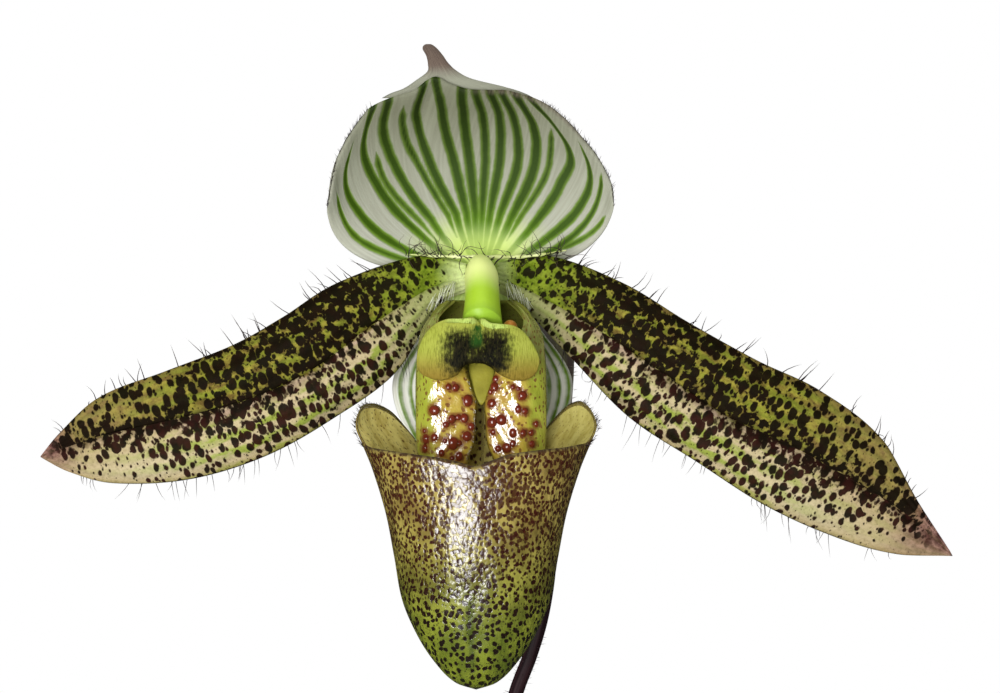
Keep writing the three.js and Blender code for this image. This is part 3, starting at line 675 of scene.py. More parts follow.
def shield_finish():
    """Downy yellow-green with a patch of dark velvet"""
    made, nodes = finish("staminode", 0.6, Specular_IOR_Level=0.06)
    where = nodes.place()
    velvet, warm, green = nodes.number("velvet"), nodes.number("warm"), nodes.number("green")
    cloud = nodes.noise(where, 500, 3)
    ground = nodes.mix(cloud, colour(150, 160, 58), colour(174, 178, 82))
    ground = nodes.mix(warm, ground, colour(142, 122, 50))
    # The lips' pale colour is a painted highlight along their folds
    ground = nodes.mix(nodes.number("lip"), ground, colour(184, 206, 108))
    nap = nodes.noise(nodes.stretched(where, 6000, 3000, 1100), 1.0, 3, 0.6)
    tufts = nodes.noise(where, 1500, 3, 0.6)
    downy = nodes.step(nap, 0.4, 0.72, 0.0, 0.5)
    ground = nodes.mix(downy, ground, colour(176, 178, 130), "MULTIPLY")
    ragged = nodes.plus(nodes.less(nap, 0.5), nodes.less(tufts, 0.5))
    broken = nodes.line(ragged, 0.9, velvet)
    patch = nodes.times(nodes.step(broken, 0.1, 0.95), nodes.step(velvet, 0.0, 0.2))
    dark = nodes.mix(nodes.step(nap, 0.4, 0.75), colour(5, 5, 2), colour(46, 42, 20))
    dark = nodes.mix(green, dark, nodes.mix(nap, colour(14, 38, 10), colour(54, 98, 36)))
    nodes.show("Base Color", nodes.mix(patch, ground, dark))
    nodes.show("Normal", nodes.bump(nap, 0.5, 0.15))
    return made


def soft_finish(name, light, dark, scale, roughness, depth=0.1, **uniform):
    """Plain living tissue of two mottled tones"""
    made, nodes = finish(name, roughness, **uniform)
    cloud = nodes.step(nodes.noise(nodes.place(), scale, 4, 0.6), 0.3, 0.7)
    nodes.show("Base Color", nodes.mix(cloud, dark, light))
    show_skin(nodes, 2600.0, 0.4, depth)
    return made


def column_finish():
    """Pale at the back end, which is painted glow, and lime towards the shield"""
    made, nodes = finish("column", 0.4, Specular_IOR_Level=0.3)
    along = nodes.number("along")
    cloud = nodes.noise(nodes.place(), 400, 3)
    lime = nodes.mix(cloud, colour(156, 196, 36), colour(180, 216, 62))
    # The pale back end is painted glow, matching the painted glow at the petals' and sepal's feet
    skin = nodes.mix(nodes.step(along, 0.52, 0.8, 0.06, 1), colour(244, 255, 160), lime)
    skin = nodes.mix(nodes.step(along, 0.88, 1.0, 0, 0.35), skin, colour(112, 160, 52))
    nodes.show("Base Color", skin)
    show_skin(nodes, 2200.0, 0.25, 0.08)
    return made


def hair_finish(name, root, tip):
    """One tone at a hair's root that turns to another at its tip"""
    made, nodes = finish(name, 0.45)
    worn = nodes.noise(nodes.place(), 3000, 2)
    share = nodes.line(nodes.less(worn, 0.5), 0.5, nodes.number("along"))
    nodes.show("Base Color", nodes.mix(nodes.step(share, 0.1, 1.0), root, tip))
    return made


def stalk_finish():
    """Streaked dark purple, green at the foot"""
    made, nodes = finish("dark stalk", 0.6, Specular_IOR_Level=0.15)
    around = nodes.vector("round")
    streak = nodes.noise(nodes.stretched(around, 3.0, 3.0, 0.12), 1.0, 3)
    skin = nodes.mix(nodes.step(streak, 0.35, 0.7), colour(24, 12, 16), colour(44, 24, 28))
    foot = nodes.step(nodes.number("along"), 0.0, 0.16, 1, 0)
    skin = nodes.mix(foot, skin, colour(84, 88, 48))
    nodes.show("Base Color", skin)
    nodes.show("Normal", nodes.bump(streak, 0.3, 0.15))
    return made


def ovary_finish():
    """Streaked brown and olive, greener towards the flower"""
    made, nodes = finish("ribbed ovary", 0.55, Sheen_Weight=0.35, Sheen_Roughness=0.5)
    around = nodes.vector("round")
    streak = nodes.noise(nodes.stretched(around, 1.8, 1.8, 0.1), 1.0, 3)
    skin = nodes.mix(nodes.step(streak, 0.35, 0.7), colour(66, 44, 42), colour(98, 96, 58))
    skin = nodes.mix(nodes.step(nodes.number("along"), 0.7, 1.0), skin, colour(120, 142, 66))
    nodes.show("Base Color", skin)
    nodes.show("Normal", nodes.bump(streak, 0.4, 0.2))
    return made


def leaf_finish(name, dark, light):
    """Leaves tessellated in two greens above and flushed purple below"""
    made, nodes = finish(name, 0.38, Coat_Weight=0.2, Coat_Roughness=0.25)
    flat = nodes.vector("flat")
    across, front = nodes.number("across"), nodes.number("front")
    bent = nodes.noise(flat, 0.12, 3)
    sockets = {"Vector": nodes.stretched(flat, 0.34, 0.15, 1), "Scale": 1.0, "Randomness": 0.8}
    tile = nodes.add("TexVoronoi", sockets, distance="MANHATTAN")
    chance = nodes.add("SeparateColor", {0: tile.outputs["Color"]}).outputs[0]
    worn = nodes.line(nodes.noise(flat, 0.55, 4, 0.65), 0.9, nodes.times(chance, 0.6))
    mottle = nodes.step(nodes.plus(worn, nodes.times(bent, 0.3)), 0.72, 1.0)
    top = nodes.mix(mottle, dark, light)
    lines = nodes.size(nodes.wave(nodes.times(across, 26)))
    netted = nodes.step(lines, 0, 0.25, 1, 0)
    top = nodes.mix(nodes.times(netted, 0.22), top, dark)
    rib = nodes.step(nodes.size(across), 0.0, 0.05, 1, 0)
    top = nodes.mix(nodes.times(rib, 0.5), top, dark)
    flush = nodes.step(nodes.noise(flat, 0.09, 2), 0.35, 0.65, 0.25, 0.75)
    dots = nodes.use(SPOTS, Where=flat, Scale=1.3, Size=0.34, Ragged=0.3, Soft=0.12)
    below = nodes.mix(flush, colour(128, 152, 96), colour(96, 52, 72))
    below = nodes.mix(nodes.times(dots, 0.6), below, colour(72, 26, 50))
    nodes.show("Base Color", nodes.mix(front, below, top))
    nodes.show("Roughness", nodes.step(worn, 0.4, 1.2, 0.32, 0.46))
    ribbed = nodes.bump(nodes.wave(nodes.times(across, 52)), 0.3, 0.12)
    pitted = nodes.bump(nodes.noise(flat, 1.6, 3), 0.25, 0.25, ribbed)
    nodes.show("Normal", pitted)
    return made


def clay_finish():
    """Turned clay, damp at its foot, with a belt of white salt and a little moss"""
    made, nodes = finish("fired clay", 0.88)
    where = nodes.place()
    height = nodes.add("SeparateXYZ", {0: where}).outputs[2]
    cloud = nodes.noise(where, 26, 5, 0.6)
    clay = nodes.mix(nodes.step(cloud, 0.35, 0.65), colour(168, 92, 58), colour(198, 122, 82))
    speck = nodes.step(nodes.noise(where, 900, 3), 0.62, 0.74)
    clay = nodes.mix(nodes.times(speck, 0.4), clay, colour(120, 60, 40))
    damp = nodes.plus(nodes.step(height, 0.0, 0.045, 1, 0), nodes.times(cloud, 0.5))
    clay = nodes.mix(nodes.step(damp, 0.75, 1.3, 0, 0.6), clay, colour(120, 66, 44))
    bloom = nodes.noise(nodes.stretched(where, 1, 1, 2.2), 42, 6, 0.7)
    belt = nodes.times(nodes.step(height, 0.01, 0.035), nodes.step(height, 0.055, 0.088, 1, 0.25))
    bloom = nodes.times(nodes.step(bloom, 0.5, 0.72), belt)
    clay = nodes.mix(nodes.times(bloom, 0.62), clay, colour(226, 208, 186))
    moss = nodes.step(nodes.noise(where, 60, 5, 0.7), 0.6, 0.74)
    moss = nodes.times(moss, nodes.step(height, 0.0, 0.04, 1, 0))
    clay = nodes.mix(nodes.times(moss, 0.5), clay, colour(92, 98, 58))
    nodes.show("Base Color", clay)
    rings = nodes.noise(nodes.stretched(where, 0.04, 0.04, 1), 700, 3)
    turned = nodes.bump(rings, 0.3, 0.25)
    nodes.show("Normal", nodes.bump(nodes.noise(where, 1400, 4, 0.7), 0.35, 0.2, turned))
    return made


def bark_finish():
    """Fibrous bark, each chip in its own tone"""
    made, nodes = finish("bark chip", 0.85)
    where, tone = nodes.place(), nodes.number("tone")
    fibre = nodes.noise(nodes.stretched(nodes.vector("grain"), 1, 1, 0.22), 1.6, 5, 0.65)
    brown = nodes.mix(tone, colour(64, 38, 22), colour(134, 88, 56))
    brown = nodes.mix(nodes.step(fibre, 0.35, 0.7), nodes.mix(0.5, brown, colour(40, 22, 14)), brown)
    pale = nodes.times(nodes.step(nodes.noise(where, 300, 4), 0.6, 0.75), 0.35)
    nodes.show("Base Color", nodes.mix(pale, brown, colour(168, 134, 100)))
    nodes.show("Normal", nodes.bump(fibre, 0.8, 0.7))
    return made


# The hooded dorsal sepal. It is drawn by its veins, which leave the narrow base, bow out and end on the
# margin.

SEPAL_BASE_HALF, SEPAL_BASE_RISE, SEPAL_BASE_DEPTH = 1.6, 0.7, 1.9
# How far it swells out behind, and then comes forward again, at its sides and at its crown
SEPAL_SWELL = (2.6, 12.5)
SEPAL_HOOD = (4.6, 15.5)
VEIN_BOW = plotted([
    (-1, -18.2, 0.3), (-0.5, -15.6, 7.6), (-0.2, -10, 12.2), (0.1, -0.3, 13.5),
    (0.4, 7.5, 11.9), (0.7, 13.8, 8.2), (1, 14.6, 1.3),
])
VEIN_END = plotted([
    (-1, -18.5, 8.7), (-0.75, -17.2, 14.9), (-0.5, -13.9, 20.3), (-0.42, -12.4, 21.4), (-0.36, -9.9, 22.4),
    (-0.3, -7.7, 23.1), (-0.25, -5.6, 24.6), (-0.2, -3.6, 23.8), (-0.12, -1.5, 23.15), (0, 1.1, 23),
    (0.12, 3.6, 22.9), (0.42, 8.6, 20.95), (0.68, 13.2, 16.3), (0.86, 15.7, 12.1), (1, 16.2, 8.8),
])
# Green stripes: the vein that each follows at four places on its way out, then where along the vein it starts
# and stops, and its width in millimetres
STRIPE_STATIONS = (0.3, 0.6, 0.85, 1.0)
STRIPES = [
    (-0.852, -0.885, -0.859, -0.83, 0.1, 0.9, 0.85),
    (-0.717, -0.725, -0.717, -0.546, 0, 0.95, 1.2),
    (-0.435, -0.483, -0.52, -0.44, 0, 1.05, 1.25),
    (-0.28, -0.35, -0.392, -0.387, 0, 1.05, 1.2),
    (-0.36, -0.42, -0.428, -0.43, 0.22, 0.76, 0.8),
    (-0.145, -0.26, -0.322, -0.335, 0.2, 0.94, 0.9),
    (-0.085, -0.2, -0.277, -0.28, 0, 1.05, 1.25),
    (-0.011, -0.078, -0.178, -0.246, 0, 1.05, 1.25),
    (0.052, 0.001, -0.077, -0.149, 0, 1.05, 1.25),
    (0.106, 0.084, 0.017, -0.079, 0, 1.05, 1.1),
    (0.176, 0.171, 0.106, 0.005, 0, 1.05, 1.2),
    (0.265, 0.288, 0.198, 0.065, 0, 1.05, 1.2),
    (0.372, 0.395, 0.326, 0.158, 0, 1.05, 1.3),
    (0.44, 0.477, 0.446, 0.413, 0.2, 0.88, 0.8),
    (0.567, 0.573, 0.549, 0.258, 0, 1.05, 1.25),
    (0.746, 0.75, 0.708, 0.549, 0, 0.95, 1.25),
    (0.869, 0.853, 0.816, 0.785, 0.1, 0.95, 1),
    (0.882, 0.931, 0.956, 0.971, 0.36, 0.85, 0.7),
]

# The drawn-out tip behind the rim: height, left edge, right edge and depth as seen
SPIRE_EDGES = [
    (22, -11.9, 6.6, -0.1), (22.6, -10.8, 5.4, -0.15), (23.2, -9.2, 3.6, -0.3), (24.2, -7.7, -0.6, -0.7),
    (25.2, -6.4, -2.7, -0.9), (26.1, -6.3, -3.75, -0.8), (27.1, -6.5, -4.5, -0.4), (28, -6.95, -5.3, 0.3),
    (28.45, -6.5, -6.1, 0.8),
]

# How far from a stripe counts as having none, in millimetres
NO_STRIPE = 2.0

# The hem of the sepal where it meets the petals: beside, above and behind, as seen
SEAM_WAY = [(-8.8, 3.1, -0.6), (-5, 2.9, -0.9), (0.3, 2.8, -1.2), (6, 2.9, -0.9), (10.5, 3.6, -0.3)]


def sepal_outline(t, s):
    """The sepal as seen, in millimetres: t runs round the fan of veins and s from the base to the margin"""
    bow_x, bow_z = VEIN_BOW(t)
    end_x, end_z = VEIN_END(t)
    a, b, c = (1 - s) ** 2, 2 * s * (1 - s), s * s
    return a * SEPAL_BASE_HALF * t + b * bow_x + c * end_x, a * SEPAL_BASE_RISE + b * bow_z + c * end_z


def sepal_surface(t, s):
    x, z = sepal_outline(t, s)
    crown = np.cos(np.pi / 2 * np.clip(t + 0.15, -1, 1)) ** 2
    depth = SEPAL_BASE_DEPTH + lerp(*SEPAL_SWELL, crown) * s - lerp(*SEPAL_HOOD, crown) * s**2.2
    depth = depth + 0.35 * np.sin(9 * t + 1) * s**3 + 0.12 * np.sin(31 * t) * s**6
    return seen(x, z, depth)


def spire_surface(s, t):
    """The drawn-out tip between its edges, hollowed a little"""
    heights, lefts, rights, depths = np.array(SPIRE_EDGES).T
    stations = np.linspace(0, 1, len(heights))
    rows = (heights, lefts, rights, depths)
    z, left, right, depth = (profile(list(zip(stations, row)))(t) for row in rows)
    x = lerp(left, right, (s + 1) / 2)
    return seen(x, z, depth + 0.12 * (right - left) * s * s)


def spire_notes(s, t):
    nothing = np.zeros_like(s)
    notes = {"stripe": nothing - NO_STRIPE, "tip": smooth(t, 0.35, 0.62), "glow": nothing}
    # Painted shade on the spire, as on the hood's top
    notes["shade"] = nothing + 0.6
    notes["fan"] = joined(s, t, nothing)
    notes["flat"] = joined(6 * s, 7 * t, nothing)
    return notes


def stripe_room(t, s):
    """How far inside the nearest stripe a point lies, in millimetres, below nought outside"""
    step = 0.004
    x0, z0 = sepal_outline(t - step, s)
    x1, z1 = sepal_outline(t + step, s)
    reach = np.hypot(x1 - x0, z1 - z0) / (2 * step)
    best = np.full_like(t, -NO_STRIPE)
    for *veins, first, last, width in STRIPES:
        vein = profile(list(zip(STRIPE_STATIONS, veins)))(s)
        begins = smooth(s, first - 0.05, first + 0.12) if first else 1.0
        half = width / 2 * begins * smooth(s, last + 0.015, last - 0.06)
        half = 1.06 * half * lerp(0.3, 1.0, smooth(s, 0.0, 0.5))
        half = half - 0.3 * (begins < 0.05) - 0.3 * (s > last + 0.01)
        best = np.maximum(best, half - np.abs(t - vein) * reach)
    return best


def sepal_notes(t, s):
    """What the striped finish reads: the stripes, a browned rim on top, a painted glow at the base and
    painted shade on the top
    """
    x, z = sepal_outline(t, s)
    browned = smooth(t, -0.2, 0.1) * smooth(t, 0.75, 0.55) * smooth(s, 0.97, 1.0) * 0.55
    # Painted glow round the sepal's base, for light shining through the flower's middle
    glow = smooth(np.hypot(x / 1.3, z - 1), 9, 2)
    # Painted shade, growing with height, where the hood faces down
    shade = np.clip((z - 2) / 19, 0, 1)
    notes = {"stripe": stripe_room(t, s), "tip": browned, "glow": glow, "shade": shade}
    notes["fan"] = joined(t, s, 0 * s)
    notes["flat"] = joined(x, z, 0 * x)
    return notes


# The synsepal: two joined sepals that hang behind the pouch

SYNSEPAL_LENGTH = 29.5
SYNSEPAL_FOOT = (0.3, -0.7, 1.9)
SYNSEPAL_STRIPE_HALF = 0.2
SYNSEPAL_HALF = profile([(0, 3.2), (0.15, 6.4), (0.38, 10.8), (0.6, 9.2), (0.85, 3.6), (1, 0)])
SYNSEPAL_STRIPES = (
    -0.92, -0.81, -0.69, -0.56, -0.42, -0.27, -0.12, 0.04, 0.19, 0.34, 0.49, 0.63, 0.75, 0.86, 0.96,
)


def synsepal_surface(s, t):
    foot_x, foot_z, foot_depth = SYNSEPAL_FOOT
    depth = foot_depth + 5.2 * np.sin(np.pi * t * 0.8) - 2.4 * s * s * np.sin(np.pi * t)
    depth = depth + 0.25 * s * s * np.sin(14 * t) * np.sin(np.pi * t)
    return seen(foot_x + s * SYNSEPAL_HALF(t), foot_z - SYNSEPAL_LENGTH * t, depth)


def synsepal_notes(s, t):
    half = SYNSEPAL_HALF(t)
    room = np.full_like(s, -NO_STRIPE)
    for stripe in SYNSEPAL_STRIPES:
        narrow = SYNSEPAL_STRIPE_HALF * smooth(t, 0.98, 0.75)
        room = np.maximum(room, narrow - np.abs(s - stripe) * half)
    nothing = np.zeros_like(s)
    # A painted glow at the synsepal's top, by the flower's middle, and no painted shade
    notes = {"stripe": room, "tip": nothing, "glow": smooth(t, 0.25, 0.0), "shade": nothing}
    notes["fan"] = joined(s, t, nothing)
    notes["flat"] = joined(s * half, t * SYNSEPAL_LENGTH, nothing)
    return notes


# How much of a petal its dark pigment covers: at these stations along it, in five rows from the upper edge
# to the lower
COVER_STATIONS = (0.0, 0.137, 0.257, 0.367, 0.487, 0.597, 0.717, 0.827, 0.947)
COVER = [
    (0.3, 0.5, 0.85, 0.74, 0.63, 0.48, 0.35, 0.16, 0.16),
    (0.25, 0.38, 0.73, 0.69, 0.6, 0.46, 0.34, 0.3, 0.5),
    (0.15, 0.28, 0.58, 0.62, 0.68, 0.76, 0.83, 0.85, 0.82),
    (0.02, 0.04, 0.3, 0.37, 0.4, 0.35, 0.37, 0.32, 0.16),
    (0.2, 0.2, 0.33, 0.38, 0.33, 0.26, 0.15, 0.04, 0.0),
]
# The first row's place across the petal, and the gap between the rows
FIRST_ROW, ROW_GAP = -0.72, 0.36
# Round spots make up the cover as far as this, and blots the rest
SPOT_COVER = 0.3
# How far the values of the blots' noise spread, and how it is stretched along and across
NOISE_SPREAD = 0.09
BLOT_STRETCH = (1.15, 0.85, 1)


class Petal:
    """A petal from its midrib, upper and lower margins as seen, the depth along it, the way its markings run
    in degrees, and how much sooner than told above the blots of its upper half thin out"""

    def __init__(self, midrib, upper, lower, depth, tilt, sooner):
        self.midrib, self.upper, self.lower = plotted(midrib), plotted(upper), plotted(lower)
        self.depth = profile(depth)
        self.tilt = tilt
        self.sooner = sooner

    def cover(self, s, t):
        """The share of each place that dark pigment covers"""
        t = t + self.sooner * smooth(s, 0.1, -0.2) * smooth(t, 0.2, 0.4) * smooth(t, 0.95, 0.75)
        rows = np.array([np.interp(t, COVER_STATIONS, row) for row in COVER])
        place = np.clip((s - FIRST_ROW) / ROW_GAP, 0, len(COVER) - 1.001)
        first = place.astype(int)
        each = np.arange(len(t))
        return lerp(rows[first, each], rows[first + 1, each], place - first)

    def outline(self, s, t):
        """The petal as seen, in millimetres: s runs from the upper margin to the lower, t from foot to tip"""
        from_x, from_z = self.midrib(t)
        up_x, up_z = self.upper(t)
        low_x, low_z = self.lower(t)
        k = np.abs(s)
        return lerp(from_x, np.where(s < 0, up_x, low_x), k), lerp(from_z, np.where(s < 0, up_z, low_z), k)

    def surface(self, s, t):
        """Its middle in depth: bulged on both sides of a grooved rib, with curled and waved margins"""
        x, z = self.outline(s, t)
        k = np.abs(s)
        body = smooth(t, 0, 0.3) * (1 - smooth(t, 0.8, 1))
        bulge = 1.1 * np.sin(np.pi * k) * np.sin(np.pi * t)
        curl = 1.6 * k * k * body
        groove = 0.25 * hill(s, 0, 0.12) * smooth(t, 0.05, 0.3) * (1 - smooth(t, 0.93, 1))
        waves = 0.3 * k**3 * body * np.sin(23 * t + 2 * s + self.tilt)
        return seen(x, z, self.depth(t) - bulge + curl + groove + waves)

    def notes(self, s, t):
        """What its finish reads: where each kind of marking lies, and how large and close"""
        x, z = self.outline(s, t)
        turn = math.radians(self.tilt)
        along = x * math.cos(turn) + z * math.sin(turn)
        beside = z * math.cos(turn) - x * math.sin(turn)
        nothing = np.zeros_like(x)
        flat = joined(along, beside, nothing)
        cover = self.cover(s, t)
        blots = np.clip((cover - SPOT_COVER) / (1 - SPOT_COVER), 0.002, 0.98)
        # A noise lies above this limit over that share of its surface, as its values fall in a bell curve
        limit = 0.5 + NOISE_SPREAD * np.log(1 / blots - 1) / 1.7
        spot_size = np.sqrt(np.clip(cover / SPOT_COVER, 0, 1))
        base = smooth(t, 0.3, 0.08) * smooth(s, 1.9, 0.7)
        tip = smooth(t, 0.9, 0.975) * smooth(s, 1.8, 0)
        # Painted glow round the petals' feet, for light shining through the flower's middle
        glow = smooth(np.hypot((x + 0.5) / 1.25, z - 0.6), 4.4, 0.6)
        # Where the painted sheen lies on the lower half, towards the tip
        pale = smooth(s, 0.25, 0.7) * hill(t, 0.84, 0.13)
        blot = flat * BLOT_STRETCH
        notes = {"flat": flat, "blot": blot, "limit": limit, "spot": spot_size}
        return notes | {"base": base, "tip": tip, "glow": glow, "pale": pale}


PETALS = {
    "petal_left": Petal(
        midrib=[
            (0, -1.6, 0.3), (0.1, -6, -1), (0.25, -13.5, -5.8), (0.4, -20.5, -11), (0.55, -28, -14.4),
            (0.7, -36.5, -16.7), (0.85, -45, -18.6), (0.95, -50, -20.2), (1, -53.2, -21.4),
        ],
        upper=[
            (0, -1.6, 2), (0.1, -7.2, 2.95), (0.25, -17.2, -0.3), (0.4, -23.9, -4.5), (0.55, -30, -7.9),
            (0.7, -38, -11), (0.85, -46.1, -14.2), (0.95, -50.9, -18.6), (1, -53.2, -21.4),
        ],
        lower=[
            (0, -1.6, -1.4), (0.1, -5.2, -3.3), (0.25, -10.2, -11.2), (0.4, -17.8, -16.8),
            (0.55, -25.9, -21.3), (0.7, -35, -24.1), (0.85, -44.3, -24.6), (0.95, -49.8, -23.2),
            (1, -53.2, -21.4),
        ],
        depth=[(0, 0.9), (0.12, -0.6), (0.4, -3.6), (0.65, -1.6), (0.85, 3), (1, 7.5)],
        tilt=22,
        sooner=0.0,
    ),
    "petal_right": Petal(
        midrib=[
            (0, 2, 0.4), (0.1, 6, -1.4), (0.25, 13.5, -5.6), (0.4, 21.5, -10.8), (0.55, 29.5, -16.3),
            (0.7, 37.5, -20), (0.85, 46, -24.7), (0.95, 52.5, -29), (1, 57.2, -33.4),
        ],
        upper=[
            (0, 2, 2.1), (0.1, 8, 3), (0.25, 17.2, -0.3), (0.4, 25.2, -5.1), (0.55, 33.5, -9.7),
            (0.7, 41.2, -13.4), (0.85, 48.7, -19.3), (0.95, 53.1, -27.1), (1, 57.2, -33.4),
        ],
        lower=[
            (0, 2, -1.4), (0.1, 5.2, -3.3), (0.25, 11, -9.4), (0.4, 18, -16.6), (0.55, 26.2, -22),
            (0.7, 34.5, -27.3), (0.85, 43.2, -31.2), (0.95, 50.5, -33.2), (1, 57.2, -33.4),
        ],
        depth=[(0, 0.9), (0.12, -0.6), (0.4, -3), (0.65, -2.4), (0.85, 0.2), (1, 4)],
        tilt=-32,
        sooner=0.08,
    ),
}


# Lip: the pouch, and the claw with its two side lobes

POUCH_BOTTOM, POUCH_SHIFT = -47.1, -0.3
POUCH_WALL = 1.0
POUCH_MEAN_RADIUS = 11
# How far aside the linings' patterns are taken from those outside
POUCH_LINING_ASIDE, LOBE_LINING_ASIDE = 60, 80
POUCH_HALF = profile([
    (-47.1, 0), (-46.2, 2.45), (-44, 4.7), (-41, 6.7), (-37, 8.45), (-32, 9.4), (-27, 10.4),
    (-22, 11.95), (-19.2, 13.1), (-17.2, 13.85), (-14.5, 13.5),
])
POUCH_DEPTH = profile([
    (-47.1, 0), (-46.2, 2.8), (-44, 4.9), (-41, 6.7), (-37, 8.2), (-32, 9.2), (-27, 9.6), (-22, 9.7),
    (-14.5, 10),
])
POUCH_MIDDLE = profile([(-47.1, -16), (-38, -15.2), (-28, -14.6), (-20, -14.2), (-14.5, -14)])
# Height of the mouth's edge by the angle from the front: a notch in front, an ear on each side, low behind
MOUTH_EDGE = profile([
    (-180, -20.6), (-152, -20.6), (-148, -20), (-146, -18.9), (-140, -17), (-132, -15.6), (-120, -14.75),
    (-110, -14.7), (-100, -15), (-93, -15.9), (-87, -17.2), (-81, -18.6), (-74, -19.3), (-49, -19.7),
    (-28, -20.1), (-17, -20.4), (-9, -20.75), (0, -21.2), (9, -20.55), (17, -19.95), (36, -19.5),
    (49, -19.35), (65, -19.1), (76, -18.9), (84, -18), (92, -16.8), (98, -16), (106, -15.1),
    (112, -14.6), (118, -14.4), (126, -14.75), (132, -15.4), (139, -16.6), (146, -18.3), (152, -20),
    (180, -20.6),
])


def make_pouch():
    """The pouch: its outside from the bottom up to the mouth, then its inside down again"""
    def place(u, v):
        angle = 360 * u
        signed = (angle + 180) % 360 - 180
        turn = np.abs(signed)
        inner = v > 0.5
        f = np.where(inner, 2 - 2 * v, 2 * v)
        rise = f**1.7
        rim = MOUTH_EDGE(signed)
        z = lerp(POUCH_BOTTOM, rim, rise)
        edge = np.sqrt(1 - (1 - np.clip((rim - z) / 0.5, 0, 1)) ** 2)
        wall = POUCH_WALL / POUCH_MEAN_RADIUS * lerp(0.22, 1, smooth(rim - z, 0.2, 3.5))
        keep = 1 - wall / 2 + np.where(inner, -1, 1) * wall / 2 * np.where(f > 0.5, edge, 1)
        ridge = 1 + 0.012 * np.cos(np.radians(3 * signed)) - 0.03 * hill(signed, 0, 9) * smooth(z, -28, -44)
        x = POUCH_SHIFT + keep * ridge * POUCH_HALF(z) * np.sin(np.radians(angle))
        depth = POUCH_MIDDLE(z) - keep * ridge * POUCH_DEPTH(z) * np.cos(np.radians(angle))
        z = z + np.where(inner, POUCH_WALL * (1 - rise), 0)
        girth = np.maximum((POUCH_HALF(z) + POUCH_DEPTH(z)) / 2, 1.5)
        flat = joined(np.radians(signed) * girth + inner * POUCH_LINING_ASIDE, z, 0 * z)
        low = smooth(z, -24, -42)
        groove = hill(signed, -4, 4) * smooth(z, -33, -37) * smooth(z, -46, -42)
        near_rim = smooth(rim - z, 0.45, 0.1) * smooth(turn, 84, 70)
        plain = inner * smooth(z, -22, -20.3)
        crowd = smooth(turn, 34, 12) * smooth(z, -38, -32)
        # Painted shade on the right ear's inner face, which faces the key light
        dusk = 0.35 * plain * smooth(x, 5, 11)
        brim = smooth(rim - z, 1.1, 0.5) * smooth(turn, 78, 90)
        notes = {"flat": flat, "low": low, "crowd": crowd, "groove": groove, "rim": near_rim}
        return flower_point(x, depth, z), notes | {"inner": inner, "plain": plain, "dusk": dusk, "brim": brim}

    return grid("pouch", 200, 200, place)


# The lobes' wall runs this far round the claw, from one edge of the slot to the other
LOBE_RUN = 46
LOBE_TOP, LOBE_BOTTOM, LOBE_WALL, LOBE_SHIFT = -2.5, -25.0, 0.9, 0.2
# How flat a wart is beside its radius, how far it stands out of the panel, and where the rusty halo round
# it ends and is full
WART_FLATNESS, WART_LIFT, WART_HALO = 0.7, 0.12, (0.42, 0.12)
LOBE_HALF = profile([(-25, 6.6), (-20, 7.4), (-14, 7.6), (-9, 7.5), (-6, 7), (-4, 5.6), (-2.5, 3.8)])
LOBE_BACK = profile([(-25, -5.3), (-20, -4.9), (-9, -2.6), (-2.5, -0.7)])
LOBE_FRONT = profile([(-25, -12.6), (-20, -13.4), (-14, -13.1), (-9, -12), (-5, -8.6), (-2.5, -5)])
LOBE_SLOT = profile([
    (-25, 2.2), (-21, 1.3), (-19.5, 0.7), (-17, 0.45), (-14.5, 0.4), (-12.5, 1), (-10, 1.9), (-8, 3.2),
    (-6, 4.6), (-4, 4.6), (-2.5, 3.2),
])


def lobe_path(w, z):
    """The wall of the claw and lobes at a height: w runs from the left edge of the slot round the back"""
    half, back, front, slot = LOBE_HALF(z), LOBE_BACK(z), LOBE_FRONT(z), LOBE_SLOT(z)
    crest = lerp(slot, half, np.where(w < 0.5, 0.66, 0.56))
    side = [
        (0 * half, back), (0.45 * half, back - 0.2), (0.88 * half, back - 1.6), (half, (back + front) / 2),
        (0.96 * half, front + 1.9), (crest, front - 0.1), (slot, front + 0.6),
    ]
    far = len(side) - 1
    position = np.abs(w - 0.5) * 2 * far
    first = np.clip(np.floor(position).astype(int), 0, far - 1)
    f = position - first
    xs = np.stack([x for x, y in side])
    ys = np.stack([y for x, y in side])
    column = np.arange(len(w))

    def take(index):
        mirrored = np.abs(index)
        over = np.maximum(mirrored - far, 0)
        mirrored = np.minimum(mirrored, far)
        x, y = xs[mirrored, column], ys[mirrored, column]
        x = np.where(over > 0, 2 * x - xs[far - 1, column], x)
        y = np.where(over > 0, 2 * y - ys[far - 1, column], y)
        return np.stack([np.where(index < 0, -x, x), y])

    a, b, c, d = take(first - 1), take(first), take(first + 1), take(first + 2)
    squared = (2 * a - 5 * b + 4 * c - d) * f**2
    point = 0.5 * (2 * b + (c - a) * f + squared + (3 * b - a - 3 * c + d) * f**3)
    return np.where(w < 0.5, -1, 1) * point[0] + LOBE_SHIFT, point[1]


def lobe_surface(w, z, shift=0.0):
    """A point of the lobes' wall, set inwards by shift, with swollen panels"""
    x0, y0 = lobe_path(np.clip(w - 1e-3, 0, 1), z)
    x1, y1 = lobe_path(np.clip(w + 1e-3, 0, 1), z)
    x, y = lobe_path(w, z)
    size = np.hypot(x1 - x0, y1 - y0)
    swell = 0.35 * np.sin(1.9 * z + 3 * np.abs(x)) * smooth(y, -10, -12.5)
    x = x + (y1 - y0) / size * shift
    y = y - (x1 - x0) / size * shift
    return flower_point(x, y + 0.25 * swell, z)


